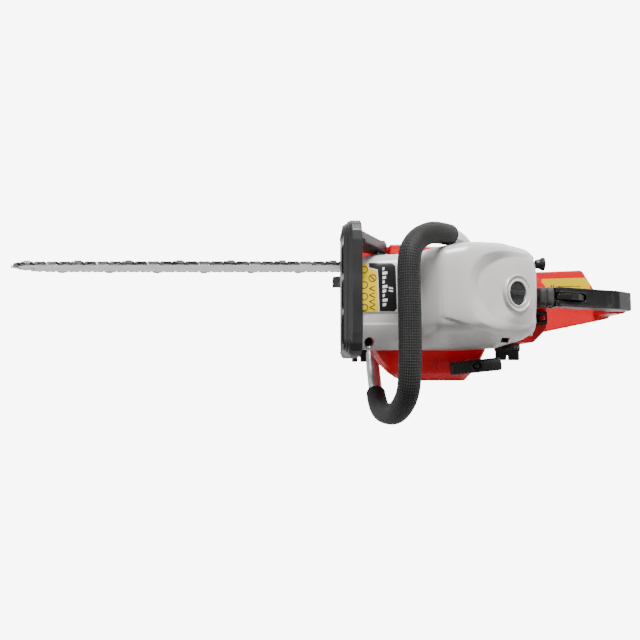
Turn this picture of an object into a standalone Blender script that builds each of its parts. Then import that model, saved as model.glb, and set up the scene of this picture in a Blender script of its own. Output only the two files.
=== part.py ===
"""A petrol chainsaw: 45 cc engine, 45 cm guide bar, as separate pieces in one frame.

The frame: +X towards the bar's tip, +Y to the saw's left, +Z up. The origin is on the
resting plane, straight below the crankshaft's axis. Sizes here are in millimetres, and
finish() turns them into metres.
"""

import math

import bmesh
import bpy
from mathutils import Matrix, Vector

MM = 0.001
GAP = 0.3            # left between faces that touch on the real saw
RUN = 0.5            # radial room round a turning piece

# ---- Driving dimensions, mm -------------------------------------------------
# Crankshaft, piston and crankcase
CRANK_Z = 82.0
CASE_FRONT, CASE_REAR = 90.0, -58.0
CASE_RIGHT, CASE_LEFT = -26.0, 42.0
SHAFT_R = 8.0
WEB_R, WEB_T, WEB_IN = 27.0, 8.0, 8.0
STROKE, ROD_LENGTH = 31.0, 54.0
PISTON_R, PISTON_UP, PISTON_DOWN = 21.0, 13.0, 10.0
CHAMBER_ROOM = 3.5
CASE_ROOF = 4.0      # crankcase over the crank chamber
# Cylinder, and what stands ahead of and behind it
CYLINDER_R, FIN_R = 26.0, 32.0
FINS, FIN_T = 6, 1.8
FIN_FOOT = 14.0  # from the cylinder's foot up to its first fin
HEAD_ROOM, HEAD_T = 6.0, 8.0
PLUG_BACK = 13.0     # spark plug, behind the cylinder's axis
MUFFLER_FRONT, MUFFLER_LOW, MUFFLER_HIGH = 80.0, 122.0, 170.0
MUFFLER_RIGHT, MUFFLER_LEFT = -15.0, 38.0
INTAKE_Z = 138.0
BOOT_LENGTH, CARB_LENGTH, FILTER_LENGTH = 25.0, 32.0, 34.0
THROAT_R = 10.0
# Bar and chain
BAR_Y, BAR_T = -48.0, 4.0
BAR_TAIL, BAR_TIP = 30.0, 541.5
BAR_HALF, BAR_BELLY = 27.0, 3.0
BAR_Z = 80.0
CHAIN_W, CHAIN_H = 6.0, 9.0
SPROCKET_R, SPROCKET_W = 16.2, 6.5
NOSE_SPROCKET_R = 17.0
# Clutch side
DRUM_R, DRUM_WALL = 35.5, 2.5
DRUM_IN = -33.0      # the drum's open edge
CLUTCH_FACE, CLUTCH_WALL = -68.0, 3.5
STUD_R, STUD_FIRST, STUD_STEP = 4.0, 56.0, 24.0
# Flywheel and starter side
FLYWHEEL_R, FLYWHEEL_IN, FLYWHEEL_T = 45.4, 46.0, 16.0
PULLEY_R, PULLEY_IN, PULLEY_T = 28.0, 74.0, 9.0
STARTER_FACE, STARTER_BASE, STARTER_WALL = 106.0, 44.3, 3.0
STARTER_TOP, EYELET_TOP = 149.0, 143.5
ROPE_R, ROPE_X, ROPE_Y = 1.75, -60.0, 88.0
T_GRIP_LENGTH, T_GRIP_W, T_GRIP_H = 61.0, 16.0, 19.0
# Top cover
COVER_FRONT, COVER_REAR = 84.0, -137.0
COVER_LEFT, COVER_RIGHT = 68.0, -50.0
COVER_DECK, COVER_TOP = 187.0, 217.0
COVER_SEAM, COVER_WALL = 150.0, 2.5
KNOB_R, RING_R, KNOB_X, KNOB_SINK = 14.0, 22.5, -107.0, 8.0
# Hand guard and its pivot
GUARD_RIGHT, GUARD_LEFT = -76.0, 79.0
GUARD_TOP, GUARD_LOW = 265.0, 150.0
GUARD_X, GUARD_T, GUARD_LEAN = 102.0, 12.0, 5.0
GUARD_RIM, GUARD_RIB = 17.0, 7.0
PIVOT_X, PIVOT_Z, PIVOT_R = 56.0, 138.0, 4.0
ARM_OUT, ARM_T = -68.0, 11.5
# Front handle
TUBE_R, GRIP_WALL = 9.2, 3.0
HANDLE_X, HANDLE_Z = 34.0, 255.0
# Tank, rear handle
AV_LENGTH = 21.4
TANK_REAR, TANK_TOP, TANK_WALL = -168.0, 98.0, 3.0
TANK_RIGHT, TANK_LEFT = -38.0, 56.0
PLATE_T = 12.0
HANDLE_REAR, HANDLE_HALF = -288.0, 12.5
GRIP_FRONT_TOP, GRIP_REAR_TOP = 150.0, 106.0
LUG_OUT = -52.0      # outer face of the lug that the front handle's right end bolts to
CLAMP_X, CLAMP_Z = 60.0, 50.0
# Levers, switch, choke and caps
LEVER_HALF = 3.8
TRIGGER_X, TRIGGER_Z = -184.0, 122.0
LOCK_X = -171.0
SWITCH_X, SWITCH_Y = -158.0, 24.0
CHOKE_Y, CHOKE_Z, CHOKE_STEM_R = -42.0, 142.0, 2.5
FUEL_CAP_R, FUEL_CAP_X, FUEL_CAP_Z = 17.5, -125.0, 58.0
OIL_CAP_R, OIL_CAP_X, OIL_CAP_Z = 11.0, 81.0, 88.0
OIL_BOSS, CAP_HEIGHT = 59.0, 22.0

# ---- Places that follow from them -------------------------------------------
TANK_FRONT = CASE_REAR - AV_LENGTH - 2 * GAP
PIN_Z = CRANK_Z + STROKE / 2               # crank pin, at top dead centre
PISTON_PIN_Z = PIN_Z + ROD_LENGTH
PISTON_TOP = PISTON_PIN_Z + PISTON_UP
CHAMBER_R = WEB_R + CHAMBER_ROOM
CASE_TOP = CRANK_Z + CHAMBER_R + CASE_ROOF
BAND_R = DRUM_R + 2.3                      # outside of the brake band
CLUTCH_TOP = CRANK_Z + BAND_R + CLUTCH_WALL + 2
BORE_TOP = PISTON_TOP + HEAD_ROOM
HEAD_TOP = BORE_TOP + HEAD_T
BOOT_FRONT = -FIN_R - GAP
CARB_FRONT = BOOT_FRONT - BOOT_LENGTH - GAP
FILTER_FRONT = CARB_FRONT - CARB_LENGTH - GAP
DRUM_WEB = BAR_Y + SPROCKET_W / 2 + GAP    # outer face of the drum's web
RAIL_GAP = 0.35                            # bar's rail to the chain
GRIP_IN = (TUBE_R + GAP) / math.cos(math.pi / 12)
POST_TOP = TANK_TOP + 20                   # where the grip sits on the tank's front post
POST_REAR = TANK_REAR - 8
TAIL_TOP = 66.0                            # where it sits on the rear post


# ---- Shapes, each a bmesh in millimetres ------------------------------------
def place(axis, a, b, t):
    """The point at (a, b) across an axis and t along it."""
    return {"x": (t, a, b), "y": (a, t, b), "z": (a, b, t)}[axis]


def circle(a, b, radius, sides=24):
    turn = 2 * math.pi / sides
    return [(a + radius * math.cos(i * turn), b + radius * math.sin(i * turn)) for i in range(sides)]


def rounded(points, radius, steps=3):
    """The outline with each corner turned into an arc, or a smaller one where a side is short."""
    outline = []
    for i, corner in enumerate(points):
        corner = Vector(corner)
        back = Vector(points[i - 1]) - corner
        ahead = Vector(points[(i + 1) % len(points)]) - corner
        half = back.angle(ahead) / 2
        reach = min(radius / math.tan(half), 0.45 * back.length, 0.45 * ahead.length)
        start = corner + back.normalized() * reach
        end = corner + ahead.normalized() * reach
        for k in range(steps + 1):
            t = k / steps
            outline.append(tuple((1 - t) ** 2 * start + 2 * t * (1 - t) * corner + t**2 * end))
    return outline


def rectangle(a, b, radius=0.0, steps=3):
    """A rectangle's outline from its two opposite corners."""
    corners = [(a[0], a[1]), (b[0], a[1]), (b[0], b[1]), (a[0], b[1])]
    return rounded(corners, radius, steps) if radius else corners


def loft(rings):
    """A closed solid through outlines with the same number of points."""
    bm = bmesh.new()
    loops = [[bm.verts.new(point) for point in ring] for ring in rings]
    for low, high in zip(loops, loops[1:]):
        for i in range(len(low)):
            j = (i + 1) % len(low)
            bm.faces.new((low[i], low[j], high[j], high[i]))
    bm.faces.new(loops[0])
    bm.faces.new(loops[-1])
    return bm


def prism(outline, axis, low, high):
    return loft([[place(axis, a, b, t) for a, b in outline] for t in (low, high)])


def rod(axis, a, b, radius, low, high, sides=16):
    return prism(circle(a, b, radius, sides), axis, low, high)


def box(low, high, radius=0.0, axis="z"):
    """A block between two corners, with the edges along an axis rounded."""
    keep = [i for i in range(3) if i != "xyz".index(axis)]
    outline = rectangle([low[i] for i in keep], [high[i] for i in keep], radius)
    return prism(outline, axis, low["xyz".index(axis)], high["xyz".index(axis)])


def turned(profile, axis, a, b, sides=24, closed=False):
    """A lathe-turned piece. The profile's points are (radius, place along the axis)."""
    bm = bmesh.new()
    along = Vector(place(axis, 0, 0, 1))
    out = Vector(place(axis, 1, 0, 0))
    centre = Vector(place(axis, a, b, 0))
    verts = [bm.verts.new(centre + out * r + along * t) for r, t in profile]
    pairs = list(zip(verts, verts[1:])) + ([(verts[-1], verts[0])] if closed else [])
    edges = [bm.edges.new(pair) for pair in pairs]
    bmesh.ops.spin(bm, geom=verts + edges, cent=centre, axis=along, dvec=(0, 0, 0),
                   angle=2 * math.pi, steps=sides, use_merge=True)
    bmesh.ops.remove_doubles(bm, verts=bm.verts, dist=1e-4)
    return bm


def smooth_path(points, per_span):
    """A smooth curve through the points, with per_span steps between two of them."""
    knots = [Vector(p) for p in points]
    knots = [2 * knots[0] - knots[1]] + knots + [2 * knots[-1] - knots[-2]]
    path = []
    for p0, p1, p2, p3 in zip(knots, knots[1:], knots[2:], knots[3:]):
        for k in range(per_span):
            t = k / per_span
            path.append(0.5 * (2 * p1 + (p2 - p0) * t + (2 * p0 - 5 * p1 + 4 * p2 - p3) * t**2
                               + (3 * p1 - p0 - 3 * p2 + p3) * t**3))
    return path + [knots[-2]]


def tube_rings(path, radius, sides):
    """A ring of points round each point of a path, without twist."""
    ahead = [(b - a).normalized() for a, b in zip(path, path[1:])]
    ahead = [ahead[0]] + [(a + b).normalized() for a, b in zip(ahead, ahead[1:])] + [ahead[-1]]
    side = ahead[0].orthogonal().normalized()
    rings = []
    for point, direction in zip(path, ahead):
        side = (side - direction * side.dot(direction)).normalized()
        up = direction.cross(side)
        rings.append([point + radius * (side * math.cos(a) + up * math.sin(a))
                      for a in (2 * math.pi * k / sides for k in range(sides))])
    return rings


def swept(path, radius, sides=12):
    return loft(tube_rings(path, radius, sides))


def sleeve(path, outer, inner, sides=12):
    """A tube wall along a path, open at both ends."""
    bm = bmesh.new()
    skins = []
    for radius in (outer, inner):
        skins.append([[bm.verts.new(p) for p in ring] for ring in tube_rings(path, radius, sides)])
    for rings in skins:
        for low, high in zip(rings, rings[1:]):
            for i in range(sides):
                j = (i + 1) % sides
                bm.faces.new((low[i], low[j], high[j], high[i]))
    for end in (0, -1):
        for i in range(sides):
            j = (i + 1) % sides
            bm.faces.new((skins[0][end][i], skins[0][end][j], skins[1][end][j], skins[1][end][i]))
    return bm


# ---- Objects ----------------------------------------------------------------
FINISHES = {
    "red_plastic": ((0.62, 0.02, 0.03), 0.35, 0.0),
    "grey_plastic": ((0.55, 0.53, 0.51), 0.4, 0.0),
    "black_plastic": ((0.03, 0.03, 0.035), 0.5, 0.0),
    "black_rubber": ((0.025, 0.025, 0.025), 0.75, 0.0),
    "cast_aluminium": ((0.45, 0.46, 0.47), 0.5, 1.0),
    "bare_aluminium": ((0.75, 0.76, 0.77), 0.3, 1.0),
    "steel": ((0.5, 0.5, 0.5), 0.35, 1.0),
    "dark_steel": ((0.12, 0.12, 0.12), 0.5, 1.0),
    "ceramic": ((0.85, 0.84, 0.8), 0.25, 0.0),
    "felt": ((0.75, 0.74, 0.68), 0.95, 0.0),
    "cord": ((0.8, 0.8, 0.78), 0.9, 0.0),
}


def clear_scene():
    for obj in list(bpy.data.objects):
        bpy.data.objects.remove(obj, do_unlink=True)


def finish_material(finish):
    made = bpy.data.materials.get(finish)
    if made:
        return made
    colour, roughness, metallic = FINISHES[finish]
    made = bpy.data.materials.new(finish)
    made.use_nodes = True
    shader = made.node_tree.nodes["Principled BSDF"]
    shader.inputs["Base Color"].default_value = (*colour, 1.0)
    shader.inputs["Roughness"].default_value = roughness
    shader.inputs["Metallic"].default_value = metallic
    return made


def make_object(name, bm, origin):
    """An object from a bmesh in millimetres, with its origin at a point of the saw's frame."""
    bmesh.ops.recalc_face_normals(bm, faces=bm.faces)
    bmesh.ops.translate(bm, verts=bm.verts, vec=-Vector(origin))
    bmesh.ops.scale(bm, verts=bm.verts, vec=(MM, MM, MM))
    mesh = bpy.data.meshes.new(name)
    bm.to_mesh(mesh)
    bm.free()
    obj = bpy.data.objects.new(name, mesh)
    obj.location = Vector(origin) * MM
    bpy.context.scene.collection.objects.link(obj)
    return obj


def boolean(obj, operation, bm):
    """Joins a shape to an object, or cuts it away."""
    helper = make_object(f"{obj.name}_{operation.lower()}_{len(obj.modifiers)}", bm, (0, 0, 0))
    helper.hide_render = True
    helper.display_type = "WIRE"
    modifier = obj.modifiers.new(helper.name, "BOOLEAN")
    modifier.operation = operation
    modifier.object = helper


def piece(name, bm, finish, origin=(0.0, 0.0, 0.0), joined=(), cuts=()):
    """A finished sub-part: its first shape, then the shapes joined to it and cut from it."""
    obj = make_object(name, bm, origin)
    obj.data.shade_smooth()
    obj.data.set_sharp_from_angle(angle=math.radians(32))
    obj.data.materials.append(finish_material(finish))
    for operation, shapes in (("UNION", joined), ("DIFFERENCE", cuts)):
        for shape in shapes:
            boolean(obj, operation, shape)
    return obj


# ---- Engine -----------------------------------------------------------------
def crankcase():
    """The cast block: crank chamber, bar pad, oil tank boss and the hand guard's bracket."""
    side = rounded([(CASE_REAR, 0), (CASE_FRONT, 0), (CASE_FRONT, CASE_TOP - 8),
                    (MUFFLER_FRONT, CASE_TOP), (CASE_REAR, CASE_TOP)], 5)
    pad_reach = BAR_Y + BAR_T / 2 + GAP
    last_stud = STUD_FIRST + STUD_STEP
    joined = [
        box((STUD_FIRST - 14, pad_reach, BAR_Z - 17), (last_stud + 8, CASE_RIGHT + 2, BAR_Z + 17), 4, "y"),
        box((OIL_CAP_X - 11.5, CASE_LEFT - 2, OIL_CAP_Z - 14), (OIL_CAP_X + 8.5, OIL_BOSS, OIL_CAP_Z + 14),
            4, "y"),
        box((PIVOT_X - 10, ARM_OUT + ARM_T + 2, CLUTCH_TOP + 1),
            (PIVOT_X + 10, MUFFLER_RIGHT - 4, PIVOT_Z + 10)),
        box((PIVOT_X - 10, CASE_RIGHT, CASE_TOP - 2), (PIVOT_X + 10, MUFFLER_RIGHT - 4, CLUTCH_TOP + 2)),
    ]
    cuts = [
        rod("y", 0, CRANK_Z, CHAMBER_R, -WEB_IN - WEB_T - 1.5, WEB_IN + WEB_T + 1.5, 32),
        rod("y", 0, CRANK_Z, SHAFT_R + RUN, CASE_RIGHT - 5, CASE_LEFT + 5, 24),
        rod("z", 0, 0, PISTON_R + 2, CRANK_Z, CASE_TOP + 5, 32),
        rod("y", PIVOT_X, PIVOT_Z, PIVOT_R + GAP, ARM_OUT, CASE_RIGHT - 6, 16),
    ]
    for x in (STUD_FIRST, last_stud):
        cuts.append(rod("y", x, BAR_Z, STUD_R + GAP, BAR_Y, CASE_RIGHT - 2, 16))
    cuts.append(rod("y", OIL_CAP_X, OIL_CAP_Z, OIL_CAP_R - 3, OIL_BOSS - 9, OIL_BOSS + 5, 20))
    piece("crankcase", prism(side, "y", CASE_RIGHT, CASE_LEFT), "cast_aluminium", joined=joined, cuts=cuts)


def crankshaft():
    """A built-up crankshaft: two webs with their shafts, and the pin pressed between them."""
    origin = (0, 0, CRANK_Z)
    ends = {"crank_half_left": (1, PULLEY_IN - 4), "crank_half_right": (-1, CLUTCH_FACE + 10)}
    for name, (way, reach) in ends.items():
        web_in, web_out = way * WEB_IN, way * (WEB_IN + WEB_T)
        profile = [(0, web_in), (WEB_R, web_in), (WEB_R, web_out), (13, web_out),
                   (SHAFT_R, web_out + way), (SHAFT_R, reach - way), (SHAFT_R - 1, reach), (0, reach)]
        piece(name, turned(profile, "y", 0, CRANK_Z), "steel", origin)
    pin_end = WEB_IN - GAP
    piece("crank_pin", rod("y", 0, PIN_Z, 6, -pin_end, pin_end), "steel", (0, 0, PISTON_PIN_Z))


def piston_and_rod():
    origin = (0, 0, PISTON_PIN_Z)
    skirt = PISTON_PIN_Z - PISTON_DOWN
    piece("piston", rod("z", 0, 0, PISTON_R, skirt, PISTON_TOP, 32), "bare_aluminium", origin,
          cuts=[rod("z", 0, 0, PISTON_R - 3, skirt - 5, PISTON_TOP - 4, 24),
                rod("y", 0, PISTON_PIN_Z, 5 + GAP, -PISTON_R - 1, PISTON_R + 1)])
    pin_end = PISTON_R - 2.5
    piece("piston_pin", rod("y", 0, PISTON_PIN_Z, 5, -pin_end, pin_end), "steel", origin)
    shank = box((-4.5, -2.5, PIN_Z + 7.5), (4.5, 2.5, PISTON_PIN_Z - 6.5))
    piece("connecting_rod", rod("y", 0, PIN_Z, 9.5, -5, 5, 20), "steel", origin,
          joined=[shank, rod("y", 0, PISTON_PIN_Z, 8, -5, 5, 20)],
          cuts=[rod("y", 0, PIN_Z, 6 + GAP, -6, 6), rod("y", 0, PISTON_PIN_Z, 5 + GAP, -6, 6)])


def cylinder():
    """The finned cylinder, with its exhaust port ahead, its intake behind and a plug hole."""
    foot = CASE_TOP + GAP
    pitch = (HEAD_TOP - foot - FIN_FOOT) / FINS
    joined = [box((-FIN_R + 3, -FIN_R + 3, foot), (FIN_R - 3, FIN_R - 3, foot + 4), 8)]
    for count in range(FINS):
        low = foot + FIN_FOOT + count * pitch
        joined.append(box((-FIN_R, -FIN_R, low), (FIN_R, FIN_R, low + FIN_T), 12))
    joined.append(rod("x", 0, INTAKE_Z, 15, -FIN_R, 0, 16))
    joined.append(rod("x", 0, INTAKE_Z + 6, 13, 0, FIN_R, 16))
    piece("cylinder", rod("z", 0, 0, CYLINDER_R, foot, HEAD_TOP, 24), "cast_aluminium", joined=joined,
          cuts=[rod("z", 0, 0, PISTON_R + 0.4, foot - 5, BORE_TOP, 32),
                rod("x", 0, INTAKE_Z, THROAT_R, -FIN_R - 5, 0, 16),
                rod("x", 0, INTAKE_Z + 6, 8, 0, FIN_R + 5, 16),
                rod("z", -PLUG_BACK, 0, 5 + GAP, BORE_TOP - 5, HEAD_TOP + 5, 16)])


def spark_plug():
    seat = HEAD_TOP + GAP
    profile = [(0, BORE_TOP + 1), (5, BORE_TOP + 1), (5, seat), (9, seat), (9, seat + 7), (6, seat + 8),
               (4.5, seat + 9), (4, seat + 22), (0, seat + 22)]
    piece("spark_plug", turned(profile, "z", -PLUG_BACK, 0, 16), "ceramic")
    low, top = seat + 10, seat + 28
    roof = seat + 22 + 2 * GAP
    profile = [(0, roof), (4.5 + GAP, roof), (4.5 + GAP, low), (8, low), (8.5, top - 6), (5, top), (0, top)]
    piece("plug_boot", turned(profile, "z", -PLUG_BACK, 0, 16), "black_rubber")


def muffler():
    """The exhaust box, with the stub that meets the cylinder's port and its outlet pipe."""
    low = (FIN_R + 8, MUFFLER_RIGHT, MUFFLER_LOW)
    high = (MUFFLER_FRONT, MUFFLER_LEFT, MUFFLER_HIGH)
    stub = rod("x", 0, INTAKE_Z + 6, 11, FIN_R + GAP, FIN_R + 10, 16)
    outlet = rod("x", MUFFLER_LEFT - 12, MUFFLER_LOW + 8, 7, MUFFLER_FRONT - 2, MUFFLER_FRONT + 5, 16)
    bore = rod("x", MUFFLER_LEFT - 12, MUFFLER_LOW + 8, 5, MUFFLER_FRONT - 8, MUFFLER_FRONT + 8, 16)
    piece("muffler", box(low, high, 6, "x"), "dark_steel", joined=[stub, outlet], cuts=[bore])


def intake():
    """From the cylinder's port back: rubber boot, carburettor with its two plates, air filter."""
    boot = [(THROAT_R, BOOT_FRONT), (16, BOOT_FRONT), (16, BOOT_FRONT - 4), (13, BOOT_FRONT - 7),
            (13, CARB_FRONT + 7), (16, CARB_FRONT + 4), (16, CARB_FRONT + GAP),
            (THROAT_R, CARB_FRONT + GAP)]
    piece("intake_boot", turned(boot, "x", 0, INTAKE_Z, 16, closed=True), "black_rubber")
    carb_rear = CARB_FRONT - CARB_LENGTH
    body = box((carb_rear, -18, INTAKE_Z - 17), (CARB_FRONT, 20, INTAKE_Z + 16), 4)
    plates = {"throttle_plate": CARB_FRONT - 8, "choke_plate": carb_rear + 8}
    cuts = [rod("x", 0, INTAKE_Z, THROAT_R, carb_rear - 5, CARB_FRONT + 5, 20)]
    cuts += [rod("y", x, INTAKE_Z, 1.5 + GAP, -25, 25, 12) for x in plates.values()]
    piece("carburettor", body, "cast_aluminium", cuts=cuts)
    for name, x in plates.items():
        # The plate stands across the throat when shut, a hair smaller all round.
        plate = rod("x", 0, INTAKE_Z, THROAT_R - 1, x - 0.6, x + 0.6, 20)
        if name == "choke_plate":
            plate = rod("z", x, 0, THROAT_R - 1, INTAKE_Z - 0.6, INTAKE_Z + 0.6, 20)
        shaft = rod("y", x, INTAKE_Z, 1.5, -20, 23, 12)
        lever = box((x - 2.5, 20.6, INTAKE_Z - 3), (x + 2.5, 22.4, INTAKE_Z + 12))
        piece(name, plate, "steel", (x, 0, INTAKE_Z), joined=[shaft, lever])
    filter_rear = FILTER_FRONT - FILTER_LENGTH
    low, high = INTAKE_Z - 20, INTAKE_Z + 19
    body = box((filter_rear, -30, low), (FILTER_FRONT, 32, high), 7)
    mouth = rod("x", 0, INTAKE_Z, THROAT_R, FILTER_FRONT - 12, FILTER_FRONT + 5, 16)
    piece("air_filter", body, "felt", cuts=[mouth])


def flywheel_side():
    """Flywheel on the crankshaft, coil over its rim, and the recoil starter on its post."""
    face = FLYWHEEL_IN + FLYWHEEL_T
    hub = SHAFT_R + GAP
    profile = [(hub, FLYWHEEL_IN), (FLYWHEEL_R, FLYWHEEL_IN), (FLYWHEEL_R, face), (FLYWHEEL_R - 9, face),
               (FLYWHEEL_R - 13, FLYWHEEL_IN + 7), (18, FLYWHEEL_IN + 7), (15, face), (hub, face)]
    piece("flywheel", turned(profile, "y", 0, CRANK_Z, 32, closed=True), "cast_aluminium", (0, 0, CRANK_Z))
    rim = CRANK_Z + FLYWHEEL_R + 1
    legs = [box((x - 5, FLYWHEEL_IN, rim), (x + 5, face - 2, rim + 8)) for x in (-17, 7)]
    piece("ignition_coil", box((-24, FLYWHEEL_IN, rim + 6), (14, face, rim + 16)), "black_plastic",
          joined=legs)
    far = PULLEY_IN + PULLEY_T
    bore = 6 + RUN
    profile = [(bore, PULLEY_IN), (PULLEY_R, PULLEY_IN), (PULLEY_R, PULLEY_IN + 1.5),
               (PULLEY_R - 7, PULLEY_IN + 2.5),
               (PULLEY_R - 7, far - 2.5), (PULLEY_R, far - 1.5), (PULLEY_R, far), (bore, far)]
    piece("starter_pulley", turned(profile, "y", 0, CRANK_Z, 28, closed=True), "black_plastic",
          (0, 0, CRANK_Z))
    spring_in, spring_out = far + 1, STARTER_FACE - STARTER_WALL - 6
    spring_r = PULLEY_R - 9
    spring = [(bore, spring_in), (spring_r, spring_in), (spring_r, spring_out), (bore, spring_out)]
    piece("recoil_spring", turned(spring, "y", 0, CRANK_Z, 28, closed=True), "steel")


def starter_outline(inset, taper):
    """The starter cover's outline across its depth, drawn in and up by the taper, 0 to 1."""
    points = [(-79, 62), (-58, 28), (-20, 15), (24, 22), (40, 42), (46, 66), (67, 98), (68, STARTER_TOP),
              (-77, STARTER_TOP)]
    middle_x, middle_z = -18.0, 82.0
    outline = []
    for x, z in rounded(points, 14, 2):
        scale = 1 - 0.46 * taper if x > middle_x else 1 - 0.38 * taper
        x_out = middle_x + (x - middle_x) * scale
        z_out = middle_z + (z - middle_z) * (1 - 0.44 * taper)
        away = Vector((x_out - middle_x, z_out - middle_z))
        away *= 1 - inset / away.length
        outline.append((middle_x + away.x, middle_z + away.y))
    return outline


def starter_side():
    """The recoil starter's cover: a dished shell with the pulley's post and the rope's eyelet."""
    def dish(inset, face, base):
        depths = ((base, 0.0), (66, 0.0), (82, 0.28), (96, 0.66), (face - 3, 0.92), (face, 1.0))
        return loft([[place("y", x, z, y - (inset if y > base else 0)) for x,
                      z in starter_outline(inset, taper)]
                     for y, taper in depths])
    inside = STARTER_FACE - STARTER_WALL
    post = rod("y", 0, CRANK_Z, 6, PULLEY_IN - 2, inside + 1, 16)
    eyelet = box((ROPE_X - 11, ROPE_Y - 8, EYELET_TOP - 28), (ROPE_X + 11, ROPE_Y + 8, EYELET_TOP), 5)
    rope_hole = rod("z", ROPE_X, ROPE_Y, ROPE_R + 1, CRANK_Z, EYELET_TOP + 5)
    shell = piece("starter_cover", dish(0, STARTER_FACE, STARTER_BASE), "red_plastic", joined=[eyelet],
                  cuts=[dish(STARTER_WALL, STARTER_FACE, STARTER_BASE - 5), rope_hole])
    boolean(shell, "UNION", post)
    grip_low = EYELET_TOP + 2 * GAP
    origin = (ROPE_X, ROPE_Y, grip_low)
    body = box((ROPE_X - T_GRIP_LENGTH / 2, ROPE_Y - T_GRIP_W / 2, grip_low),
               (ROPE_X + T_GRIP_LENGTH / 2, ROPE_Y + T_GRIP_W / 2, grip_low + T_GRIP_H), 6, "x")
    hole_up = rod("z", ROPE_X, ROPE_Y, ROPE_R + GAP, grip_low - 5, grip_low + T_GRIP_H + 5, 12)
    grip = piece("starter_grip", body, "black_plastic", origin, cuts=[hole_up])
    grip.rotation_euler.z = math.radians(6)
    rope_low = CRANK_Z + 25
    piece("starter_rope", rod("z", ROPE_X, ROPE_Y, ROPE_R, rope_low, grip_low + T_GRIP_H - 1, 10), "cord",
          (ROPE_X, ROPE_Y, rope_low))


# ---- Clutch, bar and chain --------------------------------------------------
def clutch_side():
    """Oil pump, centrifugal clutch with three shoes, drum with its sprocket, brake band."""
    axis = (0, 0, CRANK_Z)
    bore = SHAFT_R + GAP
    pump_out = DRUM_IN + 1
    pump = [(SHAFT_R + RUN, CASE_RIGHT - GAP), (17, CASE_RIGHT - GAP), (17, pump_out),
            (SHAFT_R + RUN, pump_out)]
    piece("oil_pump", turned(pump, "y", 0, CRANK_Z, 20, closed=True), "cast_aluminium")
    hub_in, hub_out = DRUM_IN - GAP, DRUM_WEB + DRUM_WALL + 1
    hub = turned([(bore, hub_in), (14, hub_in), (14, hub_out), (bore, hub_out)], "y", 0, CRANK_Z, 20,
                 closed=True)
    piece("clutch_hub", hub, "steel", axis)
    inner, outer = 14.6, DRUM_R - DRUM_WALL - 1.5
    for count in range(3):
        start = math.radians(120 * count + 4)
        sweep = [start + math.radians(112) * k / 9 for k in range(10)]
        outline = [(outer * math.cos(a), CRANK_Z + outer * math.sin(a)) for a in sweep]
        outline += [(inner * math.cos(a), CRANK_Z + inner * math.sin(a)) for a in reversed(sweep)]
        piece(f"clutch_shoe_{count + 1}", prism(outline, "y", hub_out, hub_in), "steel", axis)
    web = DRUM_WEB + DRUM_WALL
    tip = BAR_Y - SPROCKET_W / 2
    hole = SHAFT_R + RUN
    drum = [(DRUM_R, DRUM_IN), (DRUM_R, DRUM_WEB), (SPROCKET_R, DRUM_WEB), (SPROCKET_R, tip), (hole, tip),
            (hole, web), (DRUM_R - DRUM_WALL, web), (DRUM_R - DRUM_WALL, DRUM_IN)]
    piece("clutch_drum", turned(drum, "y", 0, CRANK_Z, 28, closed=True), "steel", axis)
    band_in, band_out = DRUM_R + 0.9, BAND_R
    sweep = [math.radians(25 + 310 * k / 24) for k in range(25)]
    outline = [(band_out * math.cos(a), CRANK_Z + band_out * math.sin(a)) for a in sweep]
    outline += [(band_in * math.cos(a), CRANK_Z + band_in * math.sin(a)) for a in reversed(sweep)]
    piece("brake_band", prism(outline, "y", DRUM_WEB + 2, DRUM_IN - 1), "steel")


def clutch_cover():
    """The side cover that clamps the bar: a wall, a rim round the clutch and a pad on the bar."""
    rear, front = -BAND_R - CLUTCH_WALL - 2.7, CASE_FRONT + 8
    top = CLUTCH_TOP
    wall = CLUTCH_FACE + CLUTCH_WALL
    outline = rounded([(rear, 44), (-18, 32), (front, 40), (front, top - 12), (front - 20, top),
                       (rear, top)], 8, 2)
    roof = top - CLUTCH_WALL
    inside = rounded([(rear + CLUTCH_WALL, 20), (front + 30, 20), (front + 30, roof),
                      (rear + CLUTCH_WALL, roof)], 8, 2)
    last_stud = STUD_FIRST + STUD_STEP
    pad = box((STUD_FIRST - 10, wall - 1, BAR_Z - 15),
              (last_stud + 6, BAR_Y - BAR_T / 2 - GAP, BAR_Z + 15), 4, "y")
    lug = box((PIVOT_X - 28, CLUTCH_FACE + 1, top - 8), (PIVOT_X - 11, ARM_OUT + ARM_T + 2, PIVOT_Z + 8),
              4, "y")
    fins = box((-FIN_R - GAP, -FIN_R - GAP, CASE_TOP + FIN_FOOT), (FIN_R + GAP, 0, HEAD_TOP), 12)
    cover = piece("clutch_cover", prism(outline, "y", CLUTCH_FACE, DRUM_IN + 2), "red_plastic",
                  joined=[lug], cuts=[prism(inside, "y", wall, DRUM_IN + 10), fins])
    boolean(cover, "UNION", pad)
    for x in (STUD_FIRST, last_stud):
        boolean(cover, "DIFFERENCE", rod("y", x, BAR_Z, STUD_R + GAP, CLUTCH_FACE - 5, BAR_Y, 16))
    stud_end = CLUTCH_FACE - 8
    for number, x in enumerate((STUD_FIRST, last_stud), 1):
        piece(f"bar_stud_{number}", rod("y", x, BAR_Z, STUD_R, stud_end, CASE_RIGHT - 3, 16), "steel")
        nut_low, nut_high = CLUTCH_FACE - GAP - 7, CLUTCH_FACE - GAP
        piece(f"bar_nut_{number}", rod("y", x, BAR_Z, 8, nut_low, nut_high, 6), "steel",
              cuts=[rod("y", x, BAR_Z, STUD_R + GAP, nut_low - 5, nut_high + 5, 16)])
    screw_y, screw_z = (wall + BAR_Y - BAR_T / 2) / 2, BAR_Z + 21
    piece("tensioner_screw", rod("x", screw_y, screw_z, 2.5, STUD_FIRST - 6, front - 2, 10), "steel",
          joined=[rod("x", screw_y, screw_z, 4.5, front - 6, front - 2, 12)])


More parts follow.
